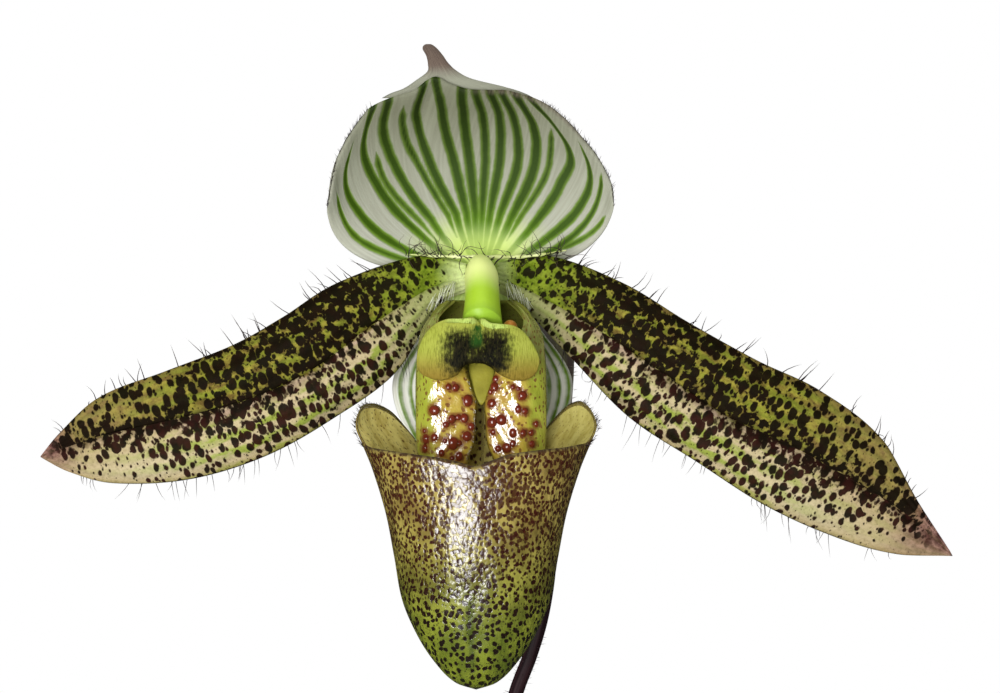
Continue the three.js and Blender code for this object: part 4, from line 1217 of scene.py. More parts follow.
def make_lobes():
    """The claw and its side lobes: one wall round the slot, first its outside and then its inside"""
    def place(u, v):
        outer = u <= 0.5
        w = np.where(outer, 2 * u, 2 - 2 * u)
        z = lerp(LOBE_BOTTOM, LOBE_TOP, v)
        from_slot = np.minimum(w, 1 - w)
        side = np.sqrt(1 - (1 - np.clip(from_slot / 0.015, 0, 1)) ** 2)
        ends = np.sqrt(1 - (1 - np.clip(np.minimum(v, 1 - v) / 0.03, 0, 1)) ** 2)
        shift = LOBE_WALL * (0.5 + np.where(outer, -0.5, 0.5) * side * ends)
        x, y = lobe_path(w, z)
        path = np.where(w < 0.5, 1, -1) * (from_slot * LOBE_RUN)
        flat = joined(path + np.where(outer, 0, LOBE_LINING_ASIDE), z, 0 * z)
        inward = smooth(np.abs(x - LOBE_SHIFT), 7.4, 3.2)
        shoulder = np.maximum(smooth(z, -11.5, -8), smooth(y, -11.5, -9))
        halo = np.zeros_like(x)
        outside, inside = WART_HALO
        for wart_x, wart_z, radius in WARTS:
            away = np.hypot(x - wart_x, z - wart_z)
            halo = np.maximum(halo, smooth(away, radius + outside, radius + inside))
        halo = halo * (y < -8)
        notes = {"flat": flat, "inward": inward, "shoulder": shoulder, "halo": halo}
        # Painted shade in the lobes' upper recess behind the column
        notes = notes | {"plain": 0 * x, "inner": ~outer, "dusk": smooth(z, -14, -9)}
        return lobe_surface(w, z, shift), notes

    return grid("side_lobes", 240, 90, place)


# Warts on the lobes' panels: beside and above the flower's middle, and radius, in millimetres
WARTS = [
    (-3.5, -12.7, 0.33), (-2.7, -12.8, 0.44), (-1.3, -14.3, 0.59), (-5.1, -15.4, 0.66), (-3.1, -16.4, 0.48),
    (-2.4, -16.2, 0.37), (-1.7, -16.3, 0.48), (-3.8, -17, 0.4), (-0.9, -17.3, 0.4), (-1.4, -18.4, 0.55),
    (-3, -19.2, 0.63), (-3.9, -18.9, 0.29), (-2.3, -19.2, 0.37), (-4.3, -20.3, 0.37), (-6.1, -18.7, 0.48),
    (-5.1, -18.5, 0.44), (-6.2, -19.8, 0.44), (-2.3, -20.7, 0.44), (-3.1, -20.9, 0.29), (-6.3, -17.8, 0.26),
    (1.9, -11.8, 0.37), (1.8, -12.7, 0.48), (1.3, -13.3, 0.29), (1.5, -14.6, 0.55), (3.9, -12.7, 0.29),
    (4.5, -12.9, 0.26), (5, -13.7, 0.52), (4.5, -15.3, 0.4), (5.3, -15.5, 0.4), (2.6, -16.5, 0.66),
    (1.5, -16.8, 0.59), (1.6, -17.9, 0.33), (3.9, -18, 0.48), (5.1, -18, 0.4), (6, -18, 0.37),
    (6.6, -17, 0.33), (3.2, -19.7, 0.59), (3.9, -19.2, 0.37), (2.2, -19.8, 0.4), (6.1, -19.3, 0.44),
]


def panel_spot(x, z):
    """Place and outward normal of the lobes' front at a point as seen from in front"""
    tries, panel = 400, 0.22
    w = np.linspace(0.0, panel, tries) if x < 0 else np.linspace(1.0 - panel, 1.0, tries)
    here = lobe_surface(w, np.full_like(w, z))
    nearest = np.argmin(np.abs(here[:, 0] / MM - FLOWER[0] - x))
    step = 0.004
    at = w[nearest]
    around = lobe_surface(np.array([at - step, at + step]), np.full(2, z))
    upright = lobe_surface(np.full(2, at), np.array([z - 0.1, z + 0.1]))
    normal = unit(np.cross(around[1] - around[0], upright[1] - upright[0]))
    return here[nearest], -normal if normal[1] > 0 else normal


def make_warts():
    """Glossy domes, each a flattened ball sunk into the panel"""
    bpy.ops.object.select_all(action="DESELECT")
    bpy.ops.mesh.primitive_uv_sphere_add(segments=14, ring_count=10, radius=1)
    ball = bpy.context.object
    points = np.array([vertex.co for vertex in ball.data.vertices])
    faces = [tuple(polygon.vertices) for polygon in ball.data.polygons]
    bpy.data.objects.remove(ball)
    random = np.random.default_rng(4)
    places, heights, every = [], [], []
    for x, z, radius in WARTS:
        middle, normal = panel_spot(x, z)
        side = unit(np.cross(normal, [0, 0, 1]))
        up = np.cross(side, normal)
        tall = random.uniform(0.9, 1.25)
        shaped = points * [radius, radius * tall, radius * WART_FLATNESS]
        turned = shaped[:, :1] * side + shaped[:, 1:2] * up + shaped[:, 2:] * normal
        every += [tuple(corner + len(places) * len(points) for corner in face) for face in faces]
        places.append(middle + (turned + normal * radius * WART_LIFT) * MM)
        heights.append(points[:, 2])
    piece = solid("warts", np.concatenate(places).tolist(), every)
    note(piece, "height", np.concatenate(heights))
    return close(piece, weld=HAIR_WELD)


# Column, staminode, stigma and anthers

# The column's way down to the shield: beside, behind and above the flower's middle
COLUMN_WAY = [
    (0.1, 3.4, 1.9), (0.1, 0.4, 1.7), (0.1, -2.6, 1), (0.2, -5, -0.1), (0.3, -7.8, -2), (0.3, -11.3, -5.4),
]
COLUMN_GIRTH = profile([(0, 1.1), (0.15, 1.35), (0.3, 1.7), (0.45, 2), (0.6, 2), (0.8, 2.08), (1, 2.35)])
SHIELD_SPAN = (-7.05, 6.85)
SHIELD_TOP = profile([
    (-7.05, -9.8), (-6.85, -8.3), (-6.2, -6.7), (-5, -5.45), (-3.8, -4.95), (-1.8, -4.9), (-0.8, -4.65),
    (-0.2, -5.1), (0.4, -4.75), (1.2, -5.25), (2.3, -5.5), (4, -5.65), (5.1, -6.35), (6, -7.5), (6.6, -8.7),
    (6.85, -9.8),
])
SHIELD_FOOT = profile([
    (-7.05, -9.8), (-6.85, -10.9), (-5.9, -11.6), (-4.3, -11.95), (-2.5, -11.3), (-1.5, -10.2), (0.2, -10),
    (1.1, -10.3), (2.3, -11.2), (3.9, -11.9), (5.4, -11.9), (6.5, -11.1), (6.85, -9.8),
])
STIGMA_HALF = profile([(0, 1.1), (0.4, 1.45), (0.56, 1.5), (0.76, 1.1), (0.95, 0.4), (1, 0)])
STIGMA_TOP, STIGMA_LENGTH, STIGMA_DEPTH = -6.9, 8, -9.3
ANTHERS = {"anther_left": (-3.2, -5.9), "anther_right": (3.6, -5.85)}
ANTHER_HALF, ANTHER_DEPTH = (0.85, 1.1, 0.9), -10.2


def shield_lip(x, z):
    """The two raised lips that curl out from the notch along the shield's upper edge"""
    beside = np.abs(x + 0.2)
    middle = -5.25 - 0.55 * smooth(x, 0.2, 1.6) + 0.1 * smooth(x, -0.5, -2.5)
    return hill(z, middle, 0.13) * smooth(beside, 0.1, 0.5) * smooth(beside, 4.2, 2.4)


def shield_depth(x, z):
    """The shield's middle in depth: domed, with a keel, two hollows beside it and the raised lips"""
    crown = -14.3 + 0.03 * (x - 0.3) ** 2 + 0.045 * (z + 10) ** 2
    crown = crown + 0.7 * hill(x, 0.3, 0.9) * smooth(z, -10, -6) - 0.35 * hill(np.abs(x - 0.3), 3.2, 2)
    return crown - 0.28 * shield_lip(x, z)


def shield_outline(s, t):
    x = lerp(*SHIELD_SPAN, (1 - np.cos(np.pi * t)) / 2)
    return x, lerp(SHIELD_FOOT(x), SHIELD_TOP(x), (s + 1) / 2)


def shield_surface(s, t):
    x, z = shield_outline(s, t)
    return flower_point(x, shield_depth(x, z), z)


# The shield's dark velvet: its cover by the place beside the middle, and by the height
VELVET_BESIDE = profile([
    (-5.8, 0), (-5.1, 0.1), (-4.5, 0.3), (-3.8, 0.57), (-3.1, 0.83), (-2.4, 0.97), (-1.7, 1), (-1, 0.92),
    (0.3, 0.9), (1, 1), (1.7, 1), (2.4, 0.97), (3.1, 0.78), (3.8, 0.4), (4.5, 0.15), (5.2, 0),
])
VELVET_HEIGHT = profile([
    (-12, 0), (-11.5, 0.35), (-11, 0.65), (-10.5, 0.9), (-9.8, 1), (-7.6, 1), (-7.1, 0.88), (-6.6, 0.7),
    (-6.15, 0.5), (-5.6, 0.1), (-5.2, 0),
])


def shield_notes(s, t):
    """Where the shield's velvet, its green middle, its warm foot and its raised lips lie, the lips with a
    painted highlight along their folds
    """
    x, z = shield_outline(s, t)
    velvet = np.clip(VELVET_BESIDE(x), 0, 1) * np.clip(VELVET_HEIGHT(z), 0, 1)
    green = smooth(np.abs(x + 0.25), 1.1, 0.3) * smooth(z, -8.6, -7.6)
    velvet = np.maximum(velvet, 0.8 * green * smooth(z, -5.3, -6))
    warm = smooth(z, -8, -11.5)
    return {"velvet": velvet, "green": green, "warm": warm, "lip": shield_lip(x, z)}


def stigma_surface(s, t):
    depth = STIGMA_DEPTH - 2.6 * t + 0.5 * s * s * (1 - t)
    return flower_point(0.3 + s * STIGMA_HALF(t), depth, STIGMA_TOP - STIGMA_LENGTH * t)


def no_notes(s, t):
    return {}


def make_anther(name, x, z):
    half_width, half_depth, half_height = ANTHER_HALF

    def place(u, v):
        around, up = 2 * math.pi * u, math.pi * (v - 0.5)
        lump = 1 + 0.08 * np.sin(3 * around) * np.cos(up)
        beside = x + half_width * lump * np.cos(up) * np.cos(around)
        depth = ANTHER_DEPTH + half_depth * lump * np.cos(up) * np.sin(around)
        return flower_point(beside, depth, z + half_height * np.sin(up)), {}

    return grid(name, 24, 16, place)


# Stalk, ovary and bract

STALK_RADII = (1.9, 1.0)
STALK_WAY = [
    (0, 0, 83.35), (-0.2, 0.1, 100), (-1.8, 0.8, 132), (-0.2, 1.5, 180),
    (7, 1, 222), (12.6, 0.2, 244), (14.6, 0, 249.4), (16.2, -0.2, 255), (17.2, -0.4, 262), (17.4, -0.6, 272),
]
OVARY_WAY = [
    (17.4, -0.6, 272.65), (18.6, -2.5, 283), (17.6, -11, 294.5), (12, -23, 299.8), (8.8, -30.5, 300.3),
    (8.2, -34.5, 300),
]
OVARY_GIRTH = profile([(0, 1.25), (0.2, 1.6), (0.5, 2.3), (0.85, 2.2), (1, 2.4)])
BRACT_FOOT = (17.4, -0.9, 269.5)
BRACT_LENGTH = 18
BRACT_WRAP = 2.4
BRACT_TURN = -0.785
BRACT_HALF = profile([(0, 2.2), (0.35, 3), (0.75, 1.8), (1, 0)])
BRACT_LEAN = profile([(0, -0.2), (0.4, 0.65), (0.75, 0.3), (1, -0.4)])


def stalk_radius(t, angle):
    return lerp(*STALK_RADII, smooth(t, 0, 0.9)) * (1 + 0.02 * np.sin(7 * angle + 9 * t))


def ovary_radius(t, angle):
    return OVARY_GIRTH(t) * (1 + 0.06 * np.cos(6 * angle))


def bract_surface(s, t):
    """The bract, wrapped round the foot of the ovary"""
    angle = BRACT_TURN + s * BRACT_HALF(t) / BRACT_WRAP
    foot_x, foot_y, foot_z = BRACT_FOOT
    x = foot_x + BRACT_LEAN(t) * math.sin(BRACT_TURN) + BRACT_WRAP * np.sin(angle)
    y = foot_y + BRACT_LEAN(t) * math.cos(BRACT_TURN) + BRACT_WRAP * np.cos(angle)
    return joined(x, y, foot_z + BRACT_LENGTH * t) * MM


# Leaves: half-width along a leaf as a share of the widest, and the midribs of a low and of an upright leaf

LEAF_FOOT = 83.35
LEAF_THICKNESS = 1.3
LEAF_WIDTH = profile([(0, 0), (0.25, 0.42), (0.4, 0.8), (0.58, 1), (0.78, 0.86), (0.92, 0.52), (1, 0)])
LOW_MIDRIB = plotted([
    (0, 0, 0), (0.1, 0.03, 0.09), (0.28, 0.16, 0.2), (0.52, 0.4, 0.26), (0.78, 0.66, 0.22), (1, 0.87, 0.11),
])
HIGH_MIDRIB = plotted([
    (0, 0, 0), (0.1, 0.005, 0.1), (0.28, 0.05, 0.28), (0.52, 0.2, 0.49), (0.78, 0.42, 0.64), (1, 0.64, 0.68),
])
# Angle at which a leaf's halves are folded at its foot and further out, in degrees
LEAF_FOLD = (45, 13)
FAN = (0, 0)
SHOOT = (6, -29)

# Each leaf's fan, the way it points, how far its foot stands out, the foot's half-width, its length and
# width, how upright it is from 0 to 1, and how far it bows sideways as a share of its length
LEAVES = {
    "leaf_1": (FAN, 180, 9, 7.5, 150, 43, 0, 0.1),
    "leaf_2": (FAN, 0, 9, 7.5, 158, 45, 0.05, 0.08),
    "leaf_3": (FAN, 180, 6.4, 6.2, 142, 42, 0.45, -0.06),
    "leaf_4": (FAN, 0, 6.4, 6.2, 138, 41, 0.42, -0.1),
    "leaf_5": (FAN, 180, 4.1, 3.8, 112, 36, 0.95, 0.05),
    "leaf_6": (FAN, 0, 4.1, 3.8, 96, 32, 1, 0.06),
    "shoot_leaf_1": (SHOOT, 165, 3.6, 3.4, 62, 24, 0.2, 0.15),
    "shoot_leaf_2": (SHOOT, -15, 3.6, 3.4, 56, 22, 0.3, -0.15),
    "shoot_leaf_3": (SHOOT, 165, 1.3, 2, 44, 16, 0.9, 0.05),
}


def make_leaf(name, fan, heading, offset, foot, length, width, rise, bow):
    turn = math.radians(heading)

    def midrib(t):
        low, high = LOW_MIDRIB(t), HIGH_MIDRIB(t)
        out = offset + length * lerp(low[0], high[0], rise)
        return joined(out, bow * length * t * t, length * lerp(low[1], high[1], rise))

    def half_width(t):
        return foot * (1 - smooth(t, 0.05, 0.5)) + width / 2 * LEAF_WIDTH(t)

    def surface(s, t):
        along = unit(midrib(np.minimum(t + 0.01, 1)) - midrib(np.minimum(t, 0.99)))
        across = unit(joined(-along[:, 1], along[:, 0] + 0.02, 0 * t))
        up = unit(np.cross(along, across))
        half = half_width(t)
        fold = np.radians(lerp(*LEAF_FOLD, smooth(t, 0.05, 0.4)))
        bend = np.sqrt(s * s + 0.0015)
        lift = bend * half * np.sin(fold) * (1 - 0.3 * smooth(t, 0.3, 0.7) * s * s)
        waves = 0.02 * half * s * s * np.sin(11 * t + 4 * s + heading)
        lift = lift + waves * smooth(t, 0.2, 0.5) * smooth(t, 1, 0.9)
        middle = midrib(t) + across * (s * half * np.cos(fold))[:, None] + up * lift[:, None]
        x = middle[:, 0] * math.cos(turn) - middle[:, 1] * math.sin(turn) + fan[0]
        y = middle[:, 0] * math.sin(turn) + middle[:, 1] * math.cos(turn) + fan[1]
        return joined(x, y, middle[:, 2] + LEAF_FOOT) * MM

    def notes(s, t):
        return {"flat": joined(s * half_width(t), length * t, 0 * t + offset)}

    return sheet(name, surface, LEAF_THICKNESS, 44, 120, notes, blunt=8, upward=True)


# Pot

POT_HEIGHT, POT_FOOT_RADIUS, POT_RIM_RADIUS, POT_WALL, POT_FLOOR = 93, 36, 53, 5, 6.5
POT_WORN_EDGE = 1.1
RIM_BAND_FOOT, RIM_BAND_STEP = 73, 3
DRAIN_HOLES, DRAIN_HOLE_RADIUS, DRAIN_HOLE_CIRCLE = 3, 5.5, 20
DRILL_LENGTH, DRILL_MIDDLE = 20, 3


def pot_inside(z):
    """The radius of the pot's inside at a height"""
    slope = (POT_RIM_RADIUS - RIM_BAND_STEP - POT_FOOT_RADIUS) / POT_HEIGHT
    return POT_FOOT_RADIUS - POT_WALL + slope * z


def make_pot():
    """Spun from its outline, bevelled at its edges and drilled with three drain holes"""
    band = pot_inside(RIM_BAND_FOOT) + POT_WALL + RIM_BAND_STEP
    outline = [
        (0, 0), (POT_FOOT_RADIUS, 0), (pot_inside(RIM_BAND_FOOT) + POT_WALL, RIM_BAND_FOOT),
        (band, RIM_BAND_FOOT), (POT_RIM_RADIUS, POT_HEIGHT), (pot_inside(POT_HEIGHT), POT_HEIGHT),
        (pot_inside(POT_FLOOR), POT_FLOOR), (0, POT_FLOOR),
    ]
    points = [(radius * MM, 0, z * MM) for radius, z in outline]
    pot = solid("clay_pot", points, [], [(i, i + 1) for i in range(len(points) - 1)])
    pick(pot)
    bpy.ops.object.mode_set(mode="EDIT")
    bpy.ops.mesh.select_all(action="SELECT")
    bpy.ops.mesh.spin(steps=128, angle=2 * math.pi, center=(0, 0, 0), axis=(0, 0, 1))
    bpy.ops.object.mode_set(mode="OBJECT")
    close(pot, weld=1e-5)
    for hole in range(DRAIN_HOLES):
        turn = math.radians(90 + 360 / DRAIN_HOLES * hole)
        out = DRAIN_HOLE_CIRCLE * MM
        place = (out * math.cos(turn), out * math.sin(turn), DRILL_MIDDLE * MM)
        bpy.ops.object.select_all(action="DESELECT")
        bpy.ops.mesh.primitive_cylinder_add(
            vertices=48, radius=DRAIN_HOLE_RADIUS * MM, depth=DRILL_LENGTH * MM, location=place
        )
        drill = bpy.context.object
        cut = pot.modifiers.new("drain hole", "BOOLEAN")
        cut.operation, cut.object = "DIFFERENCE", drill
        bpy.context.view_layer.objects.active = pot
        bpy.ops.object.modifier_apply(modifier=cut.name)
        bpy.data.objects.remove(drill)
    worn = pot.modifiers.new("worn edges", "BEVEL")
    worn.width, worn.segments = POT_WORN_EDGE * MM, 4
    worn.limit_method, worn.angle_limit = "ANGLE", math.radians(40)
    worn.harden_normals = True
    pick(pot)
    bpy.ops.object.shade_smooth_by_angle(angle=CREASE)
    bpy.ops.object.modifier_apply(modifier=worn.name)
    return pot


# Bark, crowns and roots

# The bed's top, the room between it and the pot, how far its foot is cut in and how high its lumps stand
BED_TOP, BARK_GAP, BED_FOOT, BED_LUMPS = 77, 0.35, 4, 0.9
# Where the bed's top and its side end on the way from its middle down to the underside
BED_TOP_END, BED_SIDE_END = 0.55, 0.8
# Layers of chips: how many, and the lowest and highest of their middles
CHIP_LAYERS = [(170, 76.8, 78.2), (150, 78.4, 80.4)]
# How many shapes and cut corners, where a cut lies and how wide a worn edge is, beside a chip's own size
CHIP_SHAPES, CHIP_CUTS, CHIP_CUT_AT, CHIP_WEAR = 6, 3, (0.38, 0.52), 0.07
CHIPS_REACH, CHIP_SPACING, CHIP_ROOM_AT_CROWN, CHIP_ROOM_AT_POT = 43, 3.4, 3.2, 0.5
CHIP_LENGTH, CHIP_WIDTH, CHIP_HEIGHT = (6, 11), (4.5, 7.5), (2.2, 4)
ROOT_RADIUS, ROOT_START = 2.3, 75
# Each root's heading, reach, lowest height and how far it arches over at first
ROOTS = [(200, 27, 24, -6), (320, 30, 32, -4), (75, 27, 18, -8), (135, 32, 40, 5), (245, 31, 46, 5.5)]
# Each crown's place, radius and top, how far it reaches down, and where its side starts and ends
CROWNS = [(*FAN, 11.2, 83), (*SHOOT, 5.3, 83)]
CROWN_DEPTH, CROWN_SIDE = 15, (0.1, 0.85)
RHIZOME_WAY = [(*FAN, 74), (3, -14.5, 73), (*SHOOT, 74)]
RHIZOME_RADIUS = 4.3


def make_bark_bed():
    """The fill under the chips, lumpy on top"""
    def place(u, v):
        angle = 2 * math.pi * u
        out = np.clip(v / BED_TOP_END, 0, 1)
        down = np.clip((v - BED_TOP_END) / (BED_SIDE_END - BED_TOP_END), 0, 1)
        under = np.clip((v - BED_SIDE_END) / (1 - BED_SIDE_END), 0, 1)
        low = POT_FLOOR + BARK_GAP
        z = lerp(BED_TOP, low + BED_FOOT, down) - BED_FOOT * np.minimum(under * 8, 1)
        lumps = np.sin(9 * angle + 14 * out) * np.sin(17 * out + 3 * angle)
        lumps = lumps + 0.6 * np.sin(23 * angle - 31 * out)
        z = z + BED_LUMPS * lumps * (1 - down) * smooth(out, 0, 0.15) * (out < 1)
        radius = pot_inside(z) - BARK_GAP
        radius = np.where(v < BED_TOP_END, out * (pot_inside(BED_TOP) - BARK_GAP), radius)
        radius = np.where(v > BED_SIDE_END, (pot_inside(POT_FLOOR) - BED_FOOT) * (1 - under), radius)
        tone = 0.3 + 0.25 * np.sin(11 * angle + 9 * out)
        grain = joined(radius * angle, radius, z)
        points = joined(radius * np.cos(angle), radius * np.sin(angle), z)
        return points * MM, {"tone": tone, "grain": grain}

    return grid("bark_bed", 96, 60, place)


def cut_chip(random):
    """Points and faces of one bark chip: a block with three corners cut off and its edges worn"""
    bpy.ops.object.select_all(action="DESELECT")
    bpy.ops.mesh.primitive_cube_add(size=1)
    chip = bpy.context.object
    bpy.ops.object.mode_set(mode="EDIT")
    bpy.ops.mesh.select_all(action="SELECT")
    for _ in range(CHIP_CUTS):
        way = unit(random.normal(size=3) * [1, 1, 0.5])
        place = tuple(way * random.uniform(*CHIP_CUT_AT))
        bpy.ops.mesh.bisect(plane_co=place, plane_no=tuple(way), clear_outer=True, use_fill=True)
        bpy.ops.mesh.select_all(action="SELECT")
    bpy.ops.object.mode_set(mode="OBJECT")
    worn = chip.modifiers.new("worn edges", "BEVEL")
    worn.width, worn.segments = CHIP_WEAR, 1
    bpy.ops.object.modifier_apply(modifier=worn.name)
    points = np.array([vertex.co for vertex in chip.data.vertices])
    points = points + 0.03 * np.sin(points[:, [1, 2, 0]] * 9 + random.uniform(0, 6, 3))
    faces = [tuple(polygon.vertices) for polygon in chip.data.polygons]
    bpy.data.objects.remove(chip)
    return points, faces


def strewn(random, count):
    """Places for chips, well spread over the bed and clear of the crowns, or fewer when room runs out"""
    spots = []
    while len(spots) < count:
        angle, radius = random.uniform(0, 2 * math.pi), CHIPS_REACH * math.sqrt(random.uniform(0, 1))
        spot = np.array([radius * math.cos(angle), radius * math.sin(angle)])
        clear = all(math.hypot(spot[0] - x, spot[1] - y) >= r + CHIP_ROOM_AT_CROWN for x, y, r, _ in CROWNS)
        near = min((math.hypot(*(spot - other)) for other in spots), default=math.inf)
        if clear and near > CHIP_SPACING:
            spots.append(spot)
        elif random.uniform() < 0.02:
            count -= 1
    return spots


def make_chips():
    """Bark chips: a few shapes, each cut and worn once, then copied and strewn over the bed"""
    random = np.random.default_rng(21)
    masters = [cut_chip(random) for _ in range(CHIP_SHAPES)]
    places, faces, tones, grains, total = [], [], [], [], 0
    for layer, (count, low, high) in enumerate(CHIP_LAYERS):
        for spot in strewn(random, count):
            points, chip_faces = masters[random.integers(CHIP_SHAPES)]
            size = np.array([random.uniform(*span) for span in (CHIP_LENGTH, CHIP_WIDTH, CHIP_HEIGHT)])
            turn = Matrix.Rotation(random.uniform(0, 2 * math.pi), 3, "Z")
            turn = turn @ Matrix.Rotation(random.normal() * 0.22, 3, "X")
            turn = turn @ Matrix.Rotation(random.normal() * 0.2, 3, "Y")
            cut = points * size
            placed = cut @ np.array(turn).T + [spot[0], spot[1], random.uniform(low, high)]
            radii = np.hypot(placed[:, 0], placed[:, 1])
            limit = pot_inside(placed[:, 2]) - CHIP_ROOM_AT_POT
            placed[:, :2] *= np.minimum(1, limit / np.maximum(radii, 1e-6))[:, None]
            faces += [tuple(total + corner for corner in face) for face in chip_faces]
            total += len(points)
            places.append(placed)
            tones.append(np.full(len(points), random.uniform(0, 1) * (0.6 + 0.4 * layer)))
            grains.append(cut + random.uniform(0, 90, 3))
    piece = solid("bark_chips", (np.concatenate(places) * MM).tolist(), faces)
    note(piece, "tone", np.concatenate(tones))
    note(piece, "grain", np.concatenate(grains))
    pick(piece)
    bpy.ops.object.shade_smooth_by_angle(angle=CREASE)
    return piece


def root_way(heading, reach, end, arch):
    """A root's way out of the crown and down through the bark, winding a little"""
    def at(radius, z, turn):
        angle = math.radians(heading + turn)
        return (radius * math.cos(angle), radius * math.sin(angle), z)

    return [
        at(7.5, ROOT_START, 0), at(16.5, ROOT_START + arch, 2), at(reach * 0.75, ROOT_START + arch - 1, 8),
        at(reach, lerp(ROOT_START, end, 0.45), 16), at(reach - 3, end, 30),
    ]


def make_crown(name, x, y, radius, top):
    """The short stem under a fan, ringed with the scars of old leaves"""
    def place(u, v):
        angle = 2 * math.pi * u
        first, last = CROWN_SIDE
        rise = np.clip((v - first) / (last - first), 0, 1)
        z = lerp(top - CROWN_DEPTH, top, rise)
        scars = 1 + 0.04 * np.sin(rise * 31) + 0.02 * np.sin(5 * angle)
        girth = radius * (0.62 + 0.38 * smooth(rise, 0, 0.5)) * scars
        girth = girth * np.sqrt(1 - np.clip((z - top + 1) / 1.0, 0, 1) ** 2 * 0.12)
        girth = np.where(v < first, girth * v / first, girth)
        girth = np.where(v > last, girth * (1 - v) / (1 - last), girth)
        point = joined(x + girth * np.cos(angle), y + girth * np.sin(angle), z)
        return point * MM, {"along": rise}

    return grid(name, 64, 60, place)


# Hairs and down

def margin_hairs(name, surface, side, stations, lengths, lean, radius, bend, random):
    """Hairs that stand off one margin of a sheet, leaning towards its tip"""
    side = np.full_like(stations, side)
    root = surface(side, stations)
    out = unit(root - surface(side * 0.93, stations))
    ahead = unit(surface(side, np.minimum(stations + 0.01, 0.999)) - root)
    way = out + ahead * lean[:, None] + random.normal(size=(len(stations), 3)) * [0.14, 0.22, 0.14]
    return hairs(name, root - out * 0.1 * MM, way, lengths, radius, bend)


def down(name, surface, s, t, side, lengths, lie, radius, random, spread=0.3):
    """Short hairs over one side of a surface, lying partly along it"""
    normal = facing(surface, s, t) * side
    root = surface(s, t)
    ahead = unit(surface(s, np.minimum(t + 0.01, 0.999)) - root)
    way = normal + ahead * lie + random.normal(size=(len(s), 3)) * spread
    return hairs(name, root, way, lengths, radius, normal * 0, parts=2)


def bar_down(name, way, radius_at, count, low, high, lengths, radius, random):
    """Down that stands out all round a bar"""
    stations = 400
    places, ahead, _ = way_points(way, stations)
    t = random.uniform(low, high, count)
    angle = random.uniform(0, 2 * math.pi, count)
    here = np.clip((t * (stations - 1)).astype(int), 0, stations - 1)
    first = unit(np.cross(ahead[here], [0.3, 0.9, 0.2]))
    second = np.cross(ahead[here], first)
    out = np.cos(angle)[:, None] * first + np.sin(angle)[:, None] * second
    root = places[here] + out * (radius_at(t, 0 * t) * 0.98)[:, None]
    way = out + ahead[here] * 0.25 + random.normal(size=(count, 3)) * 0.2
    return hairs(name, root * MM, way, random.uniform(*lengths, count), radius, out * 0.1, parts=2)


# The finished flower

def hem_radius(t, angle):
    return 0.24 * np.sqrt(np.sin(np.pi * np.clip(t, 0.02, 0.98))) * (1 + 0.25 * np.sin(47 * t))


def column_radius(t, angle):
    return COLUMN_GIRTH(t) * (1 + 0.04 * np.cos(3 * angle + 1))


def make_sepals():
    # The dorsal sepal's second white is its white under painted shade
    striped = sepal_finish("striped sepal", colour(184, 186, 170), colour(124, 126, 106))
    # The lower sepal's whites are painted lighter than the dorsal sepal's, to make up for the shade it lies
    # in behind the pouch
    lightened_lower = sepal_finish("lower sepal", colour(244, 245, 232), colour(190, 191, 176))
    ridge = soft_finish("sepal hem", colour(226, 232, 170), colour(178, 190, 104), 420, 0.45)
    dorsal = sheet("dorsal_sepal_skin", sepal_surface, 0.9, 230, 110, sepal_notes, blunt=10)
    belong(dorsal, striped, "white_sepal", "dorsal_sepal")
    spire = sheet("sepal_spire", spire_surface, 0.6, 30, 60, spire_notes)
    belong(spire, striped, "white_sepal", "dorsal_sepal")
    hanging = sheet("synsepal_skin", synsepal_surface, 0.9, 60, 100, synsepal_notes)
    belong(hanging, lightened_lower, "white_sepal", "synsepal")
    way = [tuple(point) for point in seen(*np.array(SEAM_WAY).T) / MM]
    belong(bar("sepal_hem", way, hem_radius, 12, 120), ridge, "white_sepal", "dorsal_sepal")


def make_petals():
    spotted = petal_finish()
    for name, petal in PETALS.items():
        skin = sheet(name + "_skin", petal.surface, 1.0, 48, 220, petal.notes)
        belong(skin, spotted, "petal", name)


def make_lip():
    lining = lining_finish()
    for piece, skin in ((make_pouch(), pouch_finish()), (make_lobes(), lobe_finish())):
        belong(piece, skin, "lip", "lip")
        line_inside(piece, lining)
    belong(make_warts(), wart_finish(), "lip", "lip")


def make_column():
    """The column with its shield, stigma and anthers"""
    way = [tuple(np.array(point) + FLOWER) for point in COLUMN_WAY]
    belong(bar("column_skin", way, column_radius, 48, 60), column_finish(), "column", "column")
    shield = sheet("staminode_skin", shield_surface, 1.0, 60, 110, shield_notes)
    belong(shield, shield_finish(), "staminode", "staminode")
    light, dark = colour(154, 148, 52), colour(134, 128, 42)
    tongue = soft_finish("stigma", light, dark, 500, 0.5, Specular_IOR_Level=0.2)
    belong(sheet("stigma_skin", stigma_surface, 0.9, 24, 40, no_notes), tongue, "stigma", "stigma")
    pollen = soft_finish("pollen", colour(196, 132, 52), colour(150, 86, 36), 900, 0.3, Coat_Weight=0.4)
    for name, place in ANTHERS.items():
        belong(make_anther(name + "_skin", *place), pollen, "pollen", name)


def make_stalk():
    belong(bar("stalk_skin", STALK_WAY, stalk_radius, 40, 260), stalk_finish(), "stalk", "flower_stalk")
    belong(bar("ovary_skin", OVARY_WAY, ovary_radius, 64, 120), ovary_finish(), "ovary", "ovary")
    sheath = soft_finish("bract", colour(126, 132, 76), colour(92, 84, 56), 260, 0.55)
    belong(sheet("bract_skin", bract_surface, 0.6, 30, 60, no_notes), sheath, "bract", "bract")


# The flower's hairs. Spans of lengths, in millimetres, and counts stand by each kind.

